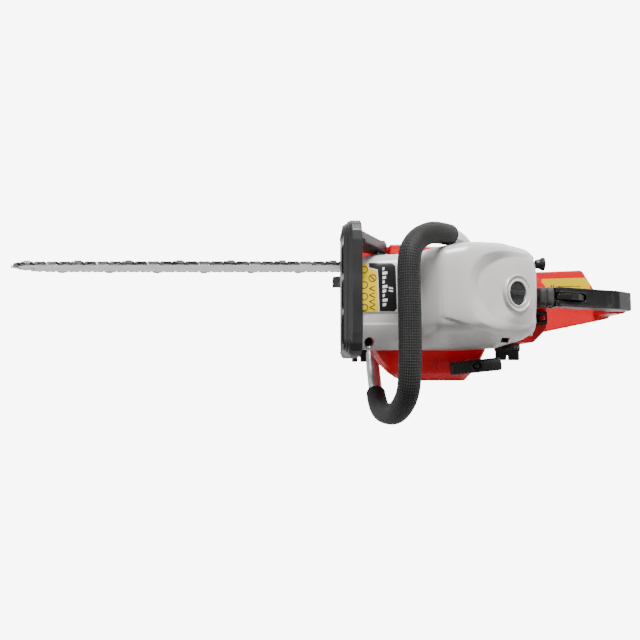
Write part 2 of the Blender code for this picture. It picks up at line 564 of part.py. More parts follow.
def rail(x):
    """Half the bar's height at a place along it, a shallow belly between tail and nose."""
    start, end = STUD_FIRST - 11, BAR_TIP - BAR_HALF
    return BAR_HALF + BAR_BELLY * math.sin(math.pi * (x - start) / (end - start))


def nose_arc(radius, steps=12):
    """Points round the bar's nose, from the top rail to the bottom one."""
    centre = BAR_TIP - BAR_HALF
    angles = [math.pi / 2 - math.pi * k / steps for k in range(1, steps)]
    return [(centre + radius * math.cos(a), BAR_Z + radius * math.sin(a)) for a in angles]


def bar_and_chain():
    start, end = STUD_FIRST - 11, BAR_TIP - BAR_HALF
    along = [start + (end - start) * k / 10 for k in range(11)]
    tail_half = 0.55 * BAR_HALF
    outline = [(BAR_TAIL, BAR_Z - tail_half), (BAR_TAIL, BAR_Z + tail_half)]
    outline += [(x, BAR_Z + rail(x)) for x in along] + nose_arc(BAR_HALF)
    outline += [(x, BAR_Z - rail(x)) for x in reversed(along)]
    side_low, side_high = BAR_Y - BAR_T / 2, BAR_Y + BAR_T / 2
    slot = box((STUD_FIRST - 11, side_low - 5, BAR_Z - STUD_R - 0.6),
               (STUD_FIRST + STUD_STEP + 18, side_high + 5, BAR_Z + STUD_R + 0.6), STUD_R, "y")
    nose = BAR_TIP - BAR_HALF + 2
    slit = rod("y", nose, BAR_Z, NOSE_SPROCKET_R + 1, BAR_Y - 0.9, BAR_Y + 0.9, 24)
    vent = rod("y", nose + 9, BAR_Z, 3, side_low - 5, side_high + 5, 12)
    piece("guide_bar", prism(outline, "y", side_low, side_high), "steel", cuts=[slot, slit, vent])
    piece("nose_sprocket", rod("y", nose, BAR_Z, NOSE_SPROCKET_R, BAR_Y - 0.6, BAR_Y + 0.6, 24), "steel",
          (nose, BAR_Y, BAR_Z))
    # The chain as one belt: round the sprocket, along both rails and round the nose.
    wrap = [math.radians(a) for a in range(100, 261, 16)]
    under, over = [], []
    for reach, loop in ((RAIL_GAP, under), (RAIL_GAP + CHAIN_H, over)):
        sprocket = SPROCKET_R + reach
        loop += [(sprocket * math.cos(a), CRANK_Z + sprocket * math.sin(a)) for a in wrap]
        loop += [(x, BAR_Z - rail(x) - reach) for x in along]
        loop += [(a, 2 * BAR_Z - b) for a, b in nose_arc(BAR_HALF + reach)]
        loop += [(x, BAR_Z + rail(x) + reach) for x in reversed(along)]
    half = CHAIN_W / 2
    piece("saw_chain", prism(over, "y", BAR_Y - half, BAR_Y + half), "steel",
          cuts=[prism(under, "y", BAR_Y - half - 5, BAR_Y + half + 5)])


def case_front():
    """The bumper spikes folded from one plate, and the catcher below the chain."""
    front = CASE_FRONT + GAP
    right, left = BAR_Y + 15, BAR_Y + 24
    flange = box((front, right, BAR_Z - 38), (front + 2.5, left, BAR_Z + 20))
    teeth = [(front + 1, BAR_Z - 38), (front + 1, BAR_Z + 20)]
    for count in range(4):
        high = BAR_Z + 20 - 14.5 * count
        teeth += [(front + 12, high), (front + 26, high - 8.5 - count), (front + 12, high - 12)]
    legs = [prism(teeth, "y", side, side + 2.4) for side in (right, left - 2.4)]
    piece("bumper_spikes", flange, "dark_steel", joined=legs)
    low = box((CASE_FRONT - 16, BAR_Y - 5, 22), (CASE_FRONT - 2, CASE_RIGHT - GAP, 30), 3)
    piece("chain_catcher", low, "cast_aluminium",
          joined=[box((CASE_FRONT - 16, CASE_RIGHT - 8, 12), (CASE_FRONT - 2, CASE_RIGHT - GAP, 29))])


# ---- Covers, guard and front handle -----------------------------------------
def cover_section(x, right, left, low, top, inset):
    """The top cover's outline across the saw at x: steep on the right, sloping on the left."""
    drop = top - COVER_SEAM
    edge = CLUTCH_TOP + 2
    points = [(right, edge), (right, COVER_SEAM + 0.45 * drop), (right + 9, top - 5), (right + 22, top),
              (left - 36, top), (left - 24, top - 5), (left - 5, COVER_SEAM + 0.42 * drop), (left, low)]
    steps = 2
    upper = rounded(points, 9, steps)[steps + 1:-steps - 1]
    middle = (right + left) / 2
    section = [(x, y - math.copysign(inset, y - middle), z - inset) for y, z in upper]
    below = 4 * inset
    return [(x, right + inset, edge - below)] + section + [(x, left - inset, low - below)]


def top_cover():
    """The cover over muffler, cylinder, carburettor and filter, open below."""
    right, left, seam = COVER_RIGHT, COVER_LEFT, COVER_SEAM
    rear_low = seam - 22
    behind = -88.0
    stations = [(COVER_FRONT, right + 4, left - 2, seam, COVER_DECK - 12),
                (COVER_FRONT - 7, right + 1, left, seam, COVER_DECK - 2),
                (16, right - 3, left, seam, COVER_DECK), (-6, right - 7, left, seam, COVER_TOP - 5),
                (-15, right - 8, left, seam, COVER_TOP), (-44, right - 13, left, seam, COVER_TOP),
                (behind + 6, right - 15, left - 1, seam, COVER_TOP - 18),
                (behind, right - 15, left - 2, rear_low, COVER_TOP - 21),
                (COVER_REAR + 12, right - 8, left - 14, rear_low, COVER_TOP - 44),
                (COVER_REAR, right + 2, left - 22, rear_low, COVER_TOP - 52)]
    outside = [cover_section(*station, 0.0) for station in stations]
    hollow = []
    for x, *rest in stations:
        end = COVER_WALL * ((x == COVER_REAR) - (x == COVER_FRONT))
        hollow.append(cover_section(x + end, *rest, COVER_WALL))
    slope = math.atan2(COVER_TOP - 21 - (COVER_TOP - 52), behind - COVER_REAR)
    surface = COVER_TOP - 52 + (KNOB_X - COVER_REAR) * math.tan(slope)
    tilt = Matrix.Translation((KNOB_X, 0, surface)) @ Matrix.Rotation(-slope, 4, "Y")

    def tilted(bm):
        bmesh.ops.transform(bm, verts=bm.verts, matrix=tilt)
        return bm
    cup = tilted(rod("z", 0, 0, KNOB_R + RUN + 2.5, -KNOB_SINK - 2.5, -1, 28))
    rim = tilted(turned([(RING_R - 2, -1), (RING_R, -1), (RING_R, 1.2), (RING_R - 2, 1.2)], "z", 0, 0, 28,
                        closed=True))
    notch = swept(handle_path()[:8], GRIP_IN + GRIP_WALL + 1)
    bracket = box((PIVOT_X - 13, right - 12, CLUTCH_TOP - 20), (PIVOT_X + 13, right + 12, PIVOT_Z + 12))
    cover = piece("top_cover", loft(outside), "grey_plastic", cuts=[loft(hollow), notch, bracket])
    boolean(cover, "UNION", cup)
    boolean(cover, "UNION", rim)
    boolean(cover, "DIFFERENCE", tilted(rod("z", 0, 0, KNOB_R + RUN, -KNOB_SINK, 20, 28)))
    boolean(cover, "DIFFERENCE", tilted(rod("z", 0, 0, 4, -KNOB_SINK - 9, 0, 12)))
    boolean(cover, "DIFFERENCE", rod("x", CHOKE_Y, CHOKE_Z, CHOKE_STEM_R + 0.8, COVER_REAR - 20,
                                     COVER_REAR + 20, 12))
    knob = tilted(rod("z", 0, 0, KNOB_R, -KNOB_SINK + 0.5, -2.5, 24))
    finger_bar = tilted(box((-KNOB_R + 2, -2.5, -3), (KNOB_R - 2, 2.5, 0.5)))
    shank = tilted(rod("z", 0, 0, 3, -KNOB_SINK - 7, -KNOB_SINK + 1, 12))
    piece("cover_knob", knob, "black_plastic", (KNOB_X, 0, surface), joined=[finger_bar, shank])


def choke():
    """The choke's pull knob behind the cover, on a stem that reaches forward beside the filter."""
    tip = COVER_REAR - 15
    profile = [(0, COVER_REAR + 32), (CHOKE_STEM_R, COVER_REAR + 32), (CHOKE_STEM_R, COVER_REAR - 3),
               (5.5, COVER_REAR - 4), (6, COVER_REAR - 8), (8.5, tip + 2), (8.5, tip), (0, tip)]
    piece("choke_knob", turned(profile, "x", CHOKE_Y, CHOKE_Z, 18), "black_plastic",
          (COVER_REAR, CHOKE_Y, CHOKE_Z))


def hand_guard():
    """The hand guard: a leaning frame with three windows, on one arm that turns the brake."""
    corner = 26
    outer = rounded([(GUARD_RIGHT, GUARD_LOW), (GUARD_LEFT, GUARD_LOW), (GUARD_LEFT, GUARD_TOP),
                     (GUARD_RIGHT, GUARD_TOP)], corner, 4)
    lean = Matrix.Translation((GUARD_X, 0, GUARD_LOW)) @ Matrix.Rotation(math.radians(-GUARD_LEAN), 4, "Y")
    lean @= Matrix.Translation((-GUARD_X, 0, -GUARD_LOW))

    def leaning(bm):
        bmesh.ops.transform(bm, verts=bm.verts, matrix=lean)
        return bm
    rear, front = GUARD_X - GUARD_T / 2, GUARD_X + GUARD_T / 2
    window_low, window_high = GUARD_LOW + GUARD_RIM, GUARD_TOP - GUARD_RIM
    inner_right, inner_left = GUARD_RIGHT + GUARD_RIM, GUARD_LEFT - GUARD_RIM
    pane = (inner_left - inner_right - 2 * GUARD_RIB) / 3
    cuts = []
    for count in range(3):
        right = inner_right + count * (pane + GUARD_RIB)
        cuts.append(leaning(box((rear - 9, right, window_low), (front + 9, right + pane, window_high), 10,
                                "x")))
    cuts.append(rod("y", PIVOT_X, PIVOT_Z, PIVOT_R + RUN, ARM_OUT - 5, ARM_OUT + ARM_T + 5, 20))
    arm = rounded([(PIVOT_X - 9, PIVOT_Z - 8), (PIVOT_X - 8, PIVOT_Z + 8), (rear - 8, GUARD_TOP - 30),
                   (rear - 1, GUARD_TOP - 30), (GUARD_X - 1, GUARD_LOW + 12), (PIVOT_X + 6, PIVOT_Z - 9)],
                   7, 2)
    piece("hand_guard", leaning(prism(outer, "x", rear, front)), "black_plastic", (PIVOT_X, 0, PIVOT_Z),
          joined=[prism(arm, "y", ARM_OUT, ARM_OUT + ARM_T)], cuts=cuts)
    piece("guard_pivot_pin", rod("y", PIVOT_X, PIVOT_Z, PIVOT_R, ARM_OUT - 2, CASE_RIGHT - 7, 16), "steel",
          joined=[rod("y", PIVOT_X, PIVOT_Z, PIVOT_R + 3, ARM_OUT - 4, ARM_OUT - GAP, 16)])


def handle_path():
    """The front handle's centreline: from the tank's lug on the right, over the top, down the left."""
    side = TUBE_R + GAP
    knots = [(TANK_FRONT + 18, LUG_OUT - side, 112), (-54, LUG_OUT - side - 3, 136), (-36, -70, 170),
             (-12, -69, 204),
             (8, -64, HANDLE_Z - 27), (HANDLE_X - 8, -50, HANDLE_Z - 9), (HANDLE_X, -26, HANDLE_Z),
             (HANDLE_X, 35, HANDLE_Z + 2), (HANDLE_X, 92, HANDLE_Z - 1), (HANDLE_X + 2, 122, HANDLE_Z - 15),
             (43, 141, HANDLE_Z - 47), (50, 146, 165), (55, 143, 120), (57, 130, 82), (58, 108, 59),
             (CLAMP_X, 80, CLAMP_Z + 1), (CLAMP_X, CASE_LEFT + 4, CLAMP_Z)]
    return smooth_path(knots, 2)


def front_handle():
    """The bent tube, its rubber grip, and the clamp that holds it to the case's lower left."""
    path = handle_path()
    piece("front_handle_tube", swept(path, TUBE_R), "bare_aluminium")
    piece("front_handle_grip", sleeve(path[5:28], GRIP_IN + GRIP_WALL, GRIP_IN), "black_rubber")
    block = box((CLAMP_X - 13, CASE_LEFT + GAP, CLAMP_Z - 13),
                (CLAMP_X + 11, CASE_LEFT + 14, CLAMP_Z + 11), 3, "y")
    bore = rod("y", CLAMP_X, CLAMP_Z, TUBE_R + 3 * GAP, CASE_LEFT + 2, CASE_LEFT + 20, 24)
    piece("handle_clamp", block, "black_plastic", cuts=[bore])


# ---- Tank and rear handle ---------------------------------------------------
def tank():
    """The fuel tank with the rear handle's plate and posts, moulded in one."""
    slant = 18
    outline = rounded([(TANK_FRONT, TANK_RIGHT), (TANK_REAR + slant, TANK_RIGHT),
                       (TANK_REAR, TANK_RIGHT + slant),
                       (TANK_REAR, TANK_LEFT - slant), (TANK_REAR + slant, TANK_LEFT),
                       (TANK_FRONT, TANK_LEFT)], 6, 2)
    plate = rounded([(TANK_REAR + 20, TANK_RIGHT - 12), (HANDLE_REAR + 39, TANK_RIGHT - 16),
                     (HANDLE_REAR + 21, TANK_RIGHT + 14), (HANDLE_REAR, -HANDLE_HALF - 1),
                     (HANDLE_REAR, HANDLE_HALF + 4),
                     (TANK_REAR - 16, TANK_LEFT - 18), (TANK_REAR + 20, TANK_LEFT - 11)], 5, 2)
    lug = box((TANK_FRONT - 18, LUG_OUT, TANK_TOP - 12), (TANK_FRONT + 27, LUG_OUT + 18, TANK_TOP + 26), 4,
              "y")
    front_post = box((POST_REAR, -HANDLE_HALF, TANK_TOP - 3), (TANK_REAR + 26, HANDLE_HALF, POST_TOP), 4)
    rear_post = box((HANDLE_REAR, -HANDLE_HALF - 2, PLATE_T - 2),
                    (HANDLE_REAR + 24, HANDLE_HALF + 2, TAIL_TOP), 4)
    hollow = box((TANK_REAR + slant, TANK_RIGHT + TANK_WALL, TANK_WALL + 1),
                 (TANK_FRONT - TANK_WALL, TANK_LEFT - TANK_WALL, TANK_TOP - TANK_WALL - 1), 6, "y")
    neck = rod("y", FUEL_CAP_X, FUEL_CAP_Z, FUEL_CAP_R - 5.5, TANK_LEFT - 10, TANK_LEFT + 5)
    piece("fuel_tank", prism(outline, "z", 0, TANK_TOP), "red_plastic",
          joined=[prism(plate, "z", 0, PLATE_T), lug, front_post, rear_post], cuts=[hollow, neck])
    for number, y in enumerate((CASE_RIGHT + 12, CASE_LEFT - 12), 1):
        mount = rod("x", y, 40, 9, TANK_FRONT + GAP, CASE_REAR - GAP, 16)
        piece(f"vibration_mount_{number}", mount, "black_rubber")


def grip_top(x):
    """Height of the rear handle's top face at x."""
    front_x, rear_x = TANK_REAR + 5, HANDLE_REAR + 26
    return GRIP_FRONT_TOP + (x - front_x) * (GRIP_FRONT_TOP - GRIP_REAR_TOP) / (front_x - rear_x)


def rear_handle():
    """The black grip on the tank's two posts, the ribbed boot ahead of it, and both levers."""
    front, low = TANK_REAR + 4.7, POST_TOP + GAP
    profile = rounded([(front, low), (front, grip_top(front)), (HANDLE_REAR + 26, GRIP_REAR_TOP),
                       (HANDLE_REAR, TAIL_TOP + 18), (HANDLE_REAR, TAIL_TOP + GAP),
                       (HANDLE_REAR + 26, TAIL_TOP + GAP),
                       (HANDLE_REAR + 42, TAIL_TOP + 17), (POST_REAR, low)], 7)
    pocket = [(LOCK_X + 6, grip_top(LOCK_X) - 10), (LOCK_X + 6, GRIP_FRONT_TOP + 10),
              (LOCK_X - 38, GRIP_FRONT_TOP + 10), (LOCK_X - 38, grip_top(LOCK_X - 38) - 11.5)]
    slot = [(TRIGGER_X + 7, 80), (TRIGGER_X - 31, 80), (TRIGGER_X - 31, TRIGGER_Z - 13),
            (TRIGGER_X - 9, TRIGGER_Z - 4),
            (TRIGGER_X - 7, TRIGGER_Z + 5), (TRIGGER_X + 7, TRIGGER_Z + 5)]
    half = LEVER_HALF + 0.7
    lock_z = grip_top(LOCK_X) - 5.5
    bores = [rod("y", x, z, 1.5 + GAP, -HANDLE_HALF + 3, HANDLE_HALF + 5, 12)
             for x, z in ((TRIGGER_X, TRIGGER_Z), (LOCK_X, lock_z))]
    piece("rear_grip", prism(profile, "y", -HANDLE_HALF, HANDLE_HALF), "black_plastic",
          cuts=[prism(pocket, "y", -half, half), prism(slot, "y", -half, half)] + bores)
    ribs = [box((front + 0.6, -HANDLE_HALF + 1.5, low),
                (TANK_REAR + 24, HANDLE_HALF - 1.5, grip_top(front) - 3), 3)]
    for count in range(4):
        start = front + 1 + 4.8 * count
        ribs.append(box((start, -HANDLE_HALF, low), (start + 2.4, HANDLE_HALF, grip_top(front) - 0.5)))
    piece("grip_boot", ribs[0], "black_rubber", joined=ribs[1:])
    blade = rounded([(TRIGGER_X + 4, TRIGGER_Z + 4), (TRIGGER_X - 4, TRIGGER_Z + 4),
                     (TRIGGER_X - 6, TRIGGER_Z - 9),
                     (TRIGGER_X - 15, TRIGGER_Z - 22), (TRIGGER_X - 20, TRIGGER_Z - 31),
                     (TRIGGER_X - 12, TRIGGER_Z - 31),
                     (TRIGGER_X - 3, TRIGGER_Z - 21), (TRIGGER_X + 4, TRIGGER_Z - 9)], 3, 2)
    pin_end = HANDLE_HALF - 3 - GAP
    piece("throttle_trigger", prism(blade, "y", -LEVER_HALF, LEVER_HALF), "black_plastic",
          (TRIGGER_X, 0, TRIGGER_Z), joined=[rod("y", TRIGGER_X, TRIGGER_Z, 1.5, -pin_end, pin_end, 12)])
    lever = rounded([(LOCK_X + 4.5, lock_z - 3.5), (LOCK_X + 4.5, lock_z + 4.5), (LOCK_X - 14, lock_z + 6),
                     (LOCK_X - 24, lock_z + 2), (LOCK_X - 36, grip_top(LOCK_X - 36) - 1.5),
                     (LOCK_X - 36, grip_top(LOCK_X - 36) - 5)], 2.5, 2)
    piece("throttle_lockout", prism(lever, "y", -LEVER_HALF, LEVER_HALF), "black_plastic",
          (LOCK_X, 0, lock_z), joined=[rod("y", LOCK_X, lock_z, 1.5, -pin_end, pin_end, 12)])


def stop_switch():
    """The engine's stop switch: a rocking toggle in a housing on the tank, left of the handle."""
    low = TANK_TOP + GAP
    body = box((SWITCH_X - 8, SWITCH_Y - 9, low), (SWITCH_X + 8, SWITCH_Y + 9, low + 9), 2)
    well = box((SWITCH_X - 6, SWITCH_Y - 4, low + 2), (SWITCH_X + 6, SWITCH_Y + 4, low + 20))
    piece("switch_housing", body, "black_plastic", cuts=[well])
    pivot = low + 6
    toggle = [(SWITCH_X - 2.4, pivot - 2.5), (SWITCH_X + 2.4, pivot - 2.5), (SWITCH_X + 2, pivot + 13),
              (SWITCH_X - 2, pivot + 13)]
    piece("stop_switch", prism(rounded(toggle, 1, 2), "y", SWITCH_Y - 3.4, SWITCH_Y + 3.4), "red_plastic",
          (SWITCH_X, SWITCH_Y, pivot))


def filler_cap(name, x, z, radius, face, plug):
    """A screw cap: plug in the neck, flange on the wall, and a finger bar across it with a slot."""
    rim = face + GAP
    profile = [(0, face - 6), (plug, face - 6), (plug, rim), (radius, rim), (radius, rim + 6),
               (radius - 2, rim + 8), (0, rim + 8)]
    bar = box((x - radius + 1.5, rim + 7, z - 5), (x + radius - 1.5, rim + CAP_HEIGHT, z + 5), 3, "y")
    notch = box((x - 2, rim + CAP_HEIGHT - 7, z - 9), (x + 2, rim + CAP_HEIGHT + 5, z + 9))
    piece(name, turned(profile, "y", x, z, 24), "black_plastic", (x, face, z), joined=[bar], cuts=[notch])


clear_scene()
crankcase()
crankshaft()
piston_and_rod()
cylinder()
spark_plug()
muffler()
intake()
flywheel_side()
starter_side()
clutch_side()
clutch_cover()
bar_and_chain()
case_front()
top_cover()
choke()
hand_guard()
front_handle()
tank()
rear_handle()
stop_switch()
filler_cap("fuel_cap", FUEL_CAP_X, FUEL_CAP_Z, FUEL_CAP_R, TANK_LEFT, FUEL_CAP_R - 6.5)
filler_cap("oil_cap", OIL_CAP_X, OIL_CAP_Z, OIL_CAP_R, OIL_BOSS, OIL_CAP_R - 4)
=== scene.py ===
"""The looks of a petrol chainsaw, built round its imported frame. Lengths are in metres."""

import math

import bmesh
import bpy
from mathutils import Matrix, Vector
from mathutils.bvhtree import BVHTree


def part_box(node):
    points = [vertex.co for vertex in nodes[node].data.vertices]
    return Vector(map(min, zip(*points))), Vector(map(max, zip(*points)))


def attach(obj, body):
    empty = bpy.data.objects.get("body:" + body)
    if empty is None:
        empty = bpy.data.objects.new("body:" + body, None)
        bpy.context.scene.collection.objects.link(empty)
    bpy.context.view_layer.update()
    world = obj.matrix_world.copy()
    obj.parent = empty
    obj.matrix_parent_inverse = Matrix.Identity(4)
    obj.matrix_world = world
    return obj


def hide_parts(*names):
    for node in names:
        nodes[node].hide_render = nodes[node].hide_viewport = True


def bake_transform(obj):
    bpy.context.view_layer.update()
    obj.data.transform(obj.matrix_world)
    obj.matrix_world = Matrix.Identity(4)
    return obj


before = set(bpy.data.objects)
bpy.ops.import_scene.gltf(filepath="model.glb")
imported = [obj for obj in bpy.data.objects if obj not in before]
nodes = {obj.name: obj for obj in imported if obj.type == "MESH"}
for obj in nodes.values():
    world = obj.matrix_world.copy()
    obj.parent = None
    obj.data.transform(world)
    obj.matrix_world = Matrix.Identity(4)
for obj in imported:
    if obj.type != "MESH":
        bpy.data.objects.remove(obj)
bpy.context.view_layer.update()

# ---- Camera, light and floor -----------------------------------------------
# The saw is seen from straight above, bar to the left and starter side nearest. A soft light
# hangs over the clutch side, weaker ones over the tip and the rear, and the floor is plain white.
camera_data = bpy.data.cameras.new("camera")
camera_data.lens = 39.7
camera = bpy.data.objects.new("camera", camera_data)
camera.location = (0.133, 0.101, 1.032)
camera.rotation_euler = (math.radians(4.6), 0, math.pi)
bpy.context.scene.collection.objects.link(camera)
bpy.context.scene.camera = camera


def soft_light(name, place, target, size, watts):
    """A square area light at a place, facing a target."""
    data = bpy.data.lights.new(name, "AREA")
    data.size = size
    data.energy = watts
    lamp = bpy.data.objects.new(name, data)
    lamp.location = place
    lamp.rotation_euler = (Vector(target) - Vector(place)).to_track_quat("-Z", "Y").to_euler()
    bpy.context.scene.collection.objects.link(lamp)


soft_light("key_light", (-0.2, -1.5, 1.2), (0.05, 0, 0.1), 0.6, 84)
soft_light("tip_light", (1.5, 0.1, 1.3), (0.1, 0, 0.1), 0.7, 16)
soft_light("rear_light", (-1.6, 0.4, 1.1), (0, 0, 0.1), 0.8, 12)
world = bpy.data.worlds.new("studio")
world.use_nodes = True
background = world.node_tree.nodes["Background"]
background.inputs["Color"].default_value = (1, 1, 1, 1)
background.inputs["Strength"].default_value = 0.2
bpy.context.scene.world = world

floor_mesh = bpy.data.meshes.new("floor")
floor_bm = bmesh.new()
bmesh.ops.create_grid(floor_bm, x_segments=1, y_segments=1, size=6)
floor_bm.to_mesh(floor_mesh)
floor_bm.free()
floor = bpy.data.objects.new("floor", floor_mesh)
bpy.context.scene.collection.objects.link(floor)
paper = bpy.data.materials.new("white_paper")
paper.use_nodes = True
tree = paper.node_tree
matt = tree.nodes["Principled BSDF"]
matt.inputs["Base Color"].default_value = (0.93, 0.93, 0.93, 1)
matt.inputs["Roughness"].default_value = 0.9
glow = tree.nodes.new("ShaderNodeEmission")
glow.inputs["Strength"].default_value = 8.0
seen = tree.nodes.new("ShaderNodeLightPath")
either = tree.nodes.new("ShaderNodeMixShader")
tree.links.new(seen.outputs["Is Camera Ray"], either.inputs[0])
tree.links.new(matt.outputs[0], either.inputs[1])
tree.links.new(glow.outputs[0], either.inputs[2])
tree.links.new(either.outputs[0], tree.nodes["Material Output"].inputs["Surface"])
floor_mesh.materials.append(paper)


# ---- Crankcase -------------------------------------------------------------
# A pressure-cast light alloy body with the crank's bearings in it. Its skin is blasted, dull
# and a little stained by oil, and the bosses that others bolt to are rubbed bright.
def add(tree, kind, inputs=None, **settings):
    """A shader node with its settings, its inputs given as values or as other nodes' sockets."""
    made = tree.nodes.new("ShaderNode" + kind)
    for key, value in settings.items():
        setattr(made, key, value)
    for socket, value in (inputs or {}).items():
        if isinstance(value, bpy.types.NodeSocket):
            tree.links.new(value, made.inputs[socket])
        else:
            made.inputs[socket].default_value = value
    return made


def maths(tree, operation, first, second=0.0, clamp=False):
    """One step of arithmetic on values or sockets."""
    made = add(tree, "Math", {0: first, 1: second}, operation=operation, use_clamp=clamp)
    return made.outputs[0]


def effect(name, inputs, outputs):
    """An empty node group with float inputs, each with its own value, and float outputs."""
    tree = bpy.data.node_groups.new(name, "ShaderNodeTree")
    for label, value in inputs.items():
        socket = tree.interface.new_socket(label, in_out="INPUT", socket_type="NodeSocketFloat")
        socket.default_value = value
    for label in outputs:
        tree.interface.new_socket(label, in_out="OUTPUT", socket_type="NodeSocketFloat")
    return tree, tree.nodes.new("NodeGroupInput").outputs, tree.nodes.new("NodeGroupOutput").inputs


def noise_of(tree, scale, detail=3.0, stretch=None):
    """Noise on object coordinates, stretched along an axis if asked."""
    vector = add(tree, "TexCoord").outputs["Object"]
    if stretch:
        vector = add(tree, "Mapping", {"Vector": vector, "Scale": stretch}).outputs["Vector"]
    return add(tree, "TexNoise", {"Vector": vector, "Scale": scale, "Detail": detail}).outputs["Fac"]


def beyond(tree, value, start, gain):
    """A mask that is 0 up to a start and rises to 1 from there."""
    return maths(tree, "MULTIPLY", maths(tree, "SUBTRACT", value, start), gain, clamp=True)


grain, given, made = effect("moulded grain", {"Per metre": 900.0, "Depth": 1.0}, ["Height"])
coarse = noise_of(grain, given["Per metre"], 2.0)
fine = noise_of(grain, maths(grain, "MULTIPLY", given["Per metre"], 3.1), 2.0)
height = maths(grain, "ADD", coarse, maths(grain, "MULTIPLY", fine, 0.5))
grain.links.new(maths(grain, "MULTIPLY", height, given["Depth"]), made["Height"])

wear, given, made = effect("worn edges", {"Amount": 0.4, "Sharpness": 12.0}, ["Mask"])
edge = add(wear, "NewGeometry").outputs["Pointiness"]
edge = beyond(wear, edge, 0.53, given["Sharpness"])
patchy = beyond(wear, noise_of(wear, 60.0, 5.0), 0.38, 3.5)
edge = maths(wear, "MULTIPLY", edge, patchy)
wear.links.new(maths(wear, "MULTIPLY", edge, given["Amount"]), made["Mask"])

dust, given, made = effect("settled dust", {"Amount": 0.2}, ["Mask"])
facing = add(dust, "SeparateXYZ", {0: add(dust, "NewGeometry").outputs["Normal"]}).outputs["Z"]
cloudy = beyond(dust, noise_of(dust, 25.0, 6.0), 0.35, 2.2)
lying = maths(dust, "MULTIPLY", maths(dust, "MAXIMUM", facing, 0.15), cloudy)
dust.links.new(maths(dust, "MULTIPLY", lying, given["Amount"]), made["Mask"])

scuffs, given, made = effect("fine scuffs", {"Amount": 0.3}, ["Mask"])
across = noise_of(scuffs, 260.0, 4.0, (1.0, 0.06, 1.0))
along = noise_of(scuffs, 210.0, 4.0, (0.05, 1.0, 1.0))
lines = beyond(scuffs, maths(scuffs, "MAXIMUM", across, along), 0.62, 9.0)
where = beyond(scuffs, noise_of(scuffs, 18.0), 0.45, 4.0)
lines = maths(scuffs, "MULTIPLY", lines, where)
scuffs.links.new(maths(scuffs, "MULTIPLY", lines, given["Amount"]), made["Mask"])


def use(tree, group, **values):
    """A group placed in a material with its own values."""
    placed = add(tree, "Group")
    placed.node_tree = group
    for label, value in values.items():
        placed.inputs[label.replace("_", " ")].default_value = value
    return placed.outputs[0]


def blend(tree, mask, below, above):
    """One colour over another where a mask says."""
    below, above = (value if isinstance(value, bpy.types.NodeSocket) else (*value, 1.0)
                    for value in (below, above))
    return add(tree, "Mix", {0: mask, 6: below, 7: above}, data_type="RGBA").outputs[2]


sawdust_brown = (0.33, 0.29, 0.23)


def surface(name, colour, rough, worn, metallic=0.0, per_metre=900.0, depth=0.00005, rubbed=0.4,
            dusty=0.12, scuffed=0.3, tint=0.12, coat=0.0, shine=0.5):
    """A finish with grain, uneven colour, rubbed edges, scuffs and dust."""
    material = bpy.data.materials.new(name)
    material.use_nodes = True
    tree = material.node_tree
    shader = tree.nodes["Principled BSDF"]
    steady = {"Metallic": metallic, "Coat Weight": coat, "Coat Roughness": 0.18, "Specular IOR Level": shine}
    for socket, value in steady.items():
        shader.inputs[socket].default_value = value
    uneven = noise_of(tree, 14.0, 4.0)
    darker = tuple(c * (1 - tint) for c in colour)
    lighter = tuple(min(1.0, c * (1 + tint) + 0.004) for c in colour)
    tone = blend(tree, uneven, darker, lighter)
    tone = blend(tree, use(tree, wear, Amount=rubbed), tone, worn)
    scratched = use(tree, scuffs, Amount=scuffed)
    tone = blend(tree, maths(tree, "MULTIPLY", scratched, 0.5), tone, worn)
    dulled = use(tree, dust, Amount=dusty)
    tone = blend(tree, dulled, tone, sawdust_brown)
    tree.links.new(tone, shader.inputs["Base Color"])
    roughness = maths(tree, "ADD", rough - 0.06, maths(tree, "MULTIPLY", uneven, 0.12))
    roughness = maths(tree, "ADD", roughness, maths(tree, "MULTIPLY", scratched, 0.25))
    roughness = maths(tree, "ADD", roughness, maths(tree, "MULTIPLY", dulled, 0.5), clamp=True)
    tree.links.new(roughness, shader.inputs["Roughness"])
    relief = use(tree, grain, Per_metre=per_metre, Depth=1.0)
    bump = add(tree, "Bump", {"Height": relief, "Strength": 1.0, "Distance": depth})
    tree.links.new(bump.outputs["Normal"], shader.inputs["Normal"])
    return material


cast_alloy = surface("blasted_cast_alloy", (0.42, 0.43, 0.44), 0.5, (0.75, 0.76, 0.77), 0.85, 1400.0, 0.00012,
                     rubbed=0.8, dusty=0.35)


def paint(material, *names):
    """A finish on nodes that keep their shape."""
    for name in names:
        nodes[name].data.materials.clear()
        nodes[name].data.materials.append(material)


def merged(*names):
    """A copy of nodes' shapes with their loose triangles joined up."""
    bm = bmesh.new()
    for name in names:
        bm.from_mesh(nodes[name].data)
    bmesh.ops.remove_doubles(bm, verts=bm.verts, dist=1e-6)
    return bm


def object_of(name, bm, smooth=32):
    """A linked object of a mesh, shaded smooth below an angle in degrees."""
    mesh = bpy.data.meshes.new(name)
    bm.to_mesh(mesh)
    bm.free()
    mesh.validate()
    mesh.shade_smooth()
    mesh.set_sharp_from_angle(angle=math.radians(smooth))
    obj = bpy.data.objects.new(name, mesh)
    bpy.context.scene.collection.objects.link(obj)
    return obj


def fit(name, bm, body, material, slot, *stands_for, smooth=32):
    """A finished piece: its mesh, finish, body, and the nodes that it stands for; the slot is not used."""
    obj = object_of(name, bm, smooth)
    obj.data.materials.append(material)
    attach(obj, body)
    if stands_for:
        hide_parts(*stands_for)
    return obj


def block(bm, low, high, turn=None):
    """A box between two corners."""
    low, high = Vector(low), Vector(high)
    place = Matrix.LocRotScale((low + high) / 2, turn, high - low)
    return bmesh.ops.create_cube(bm, size=1, matrix=place)["verts"]


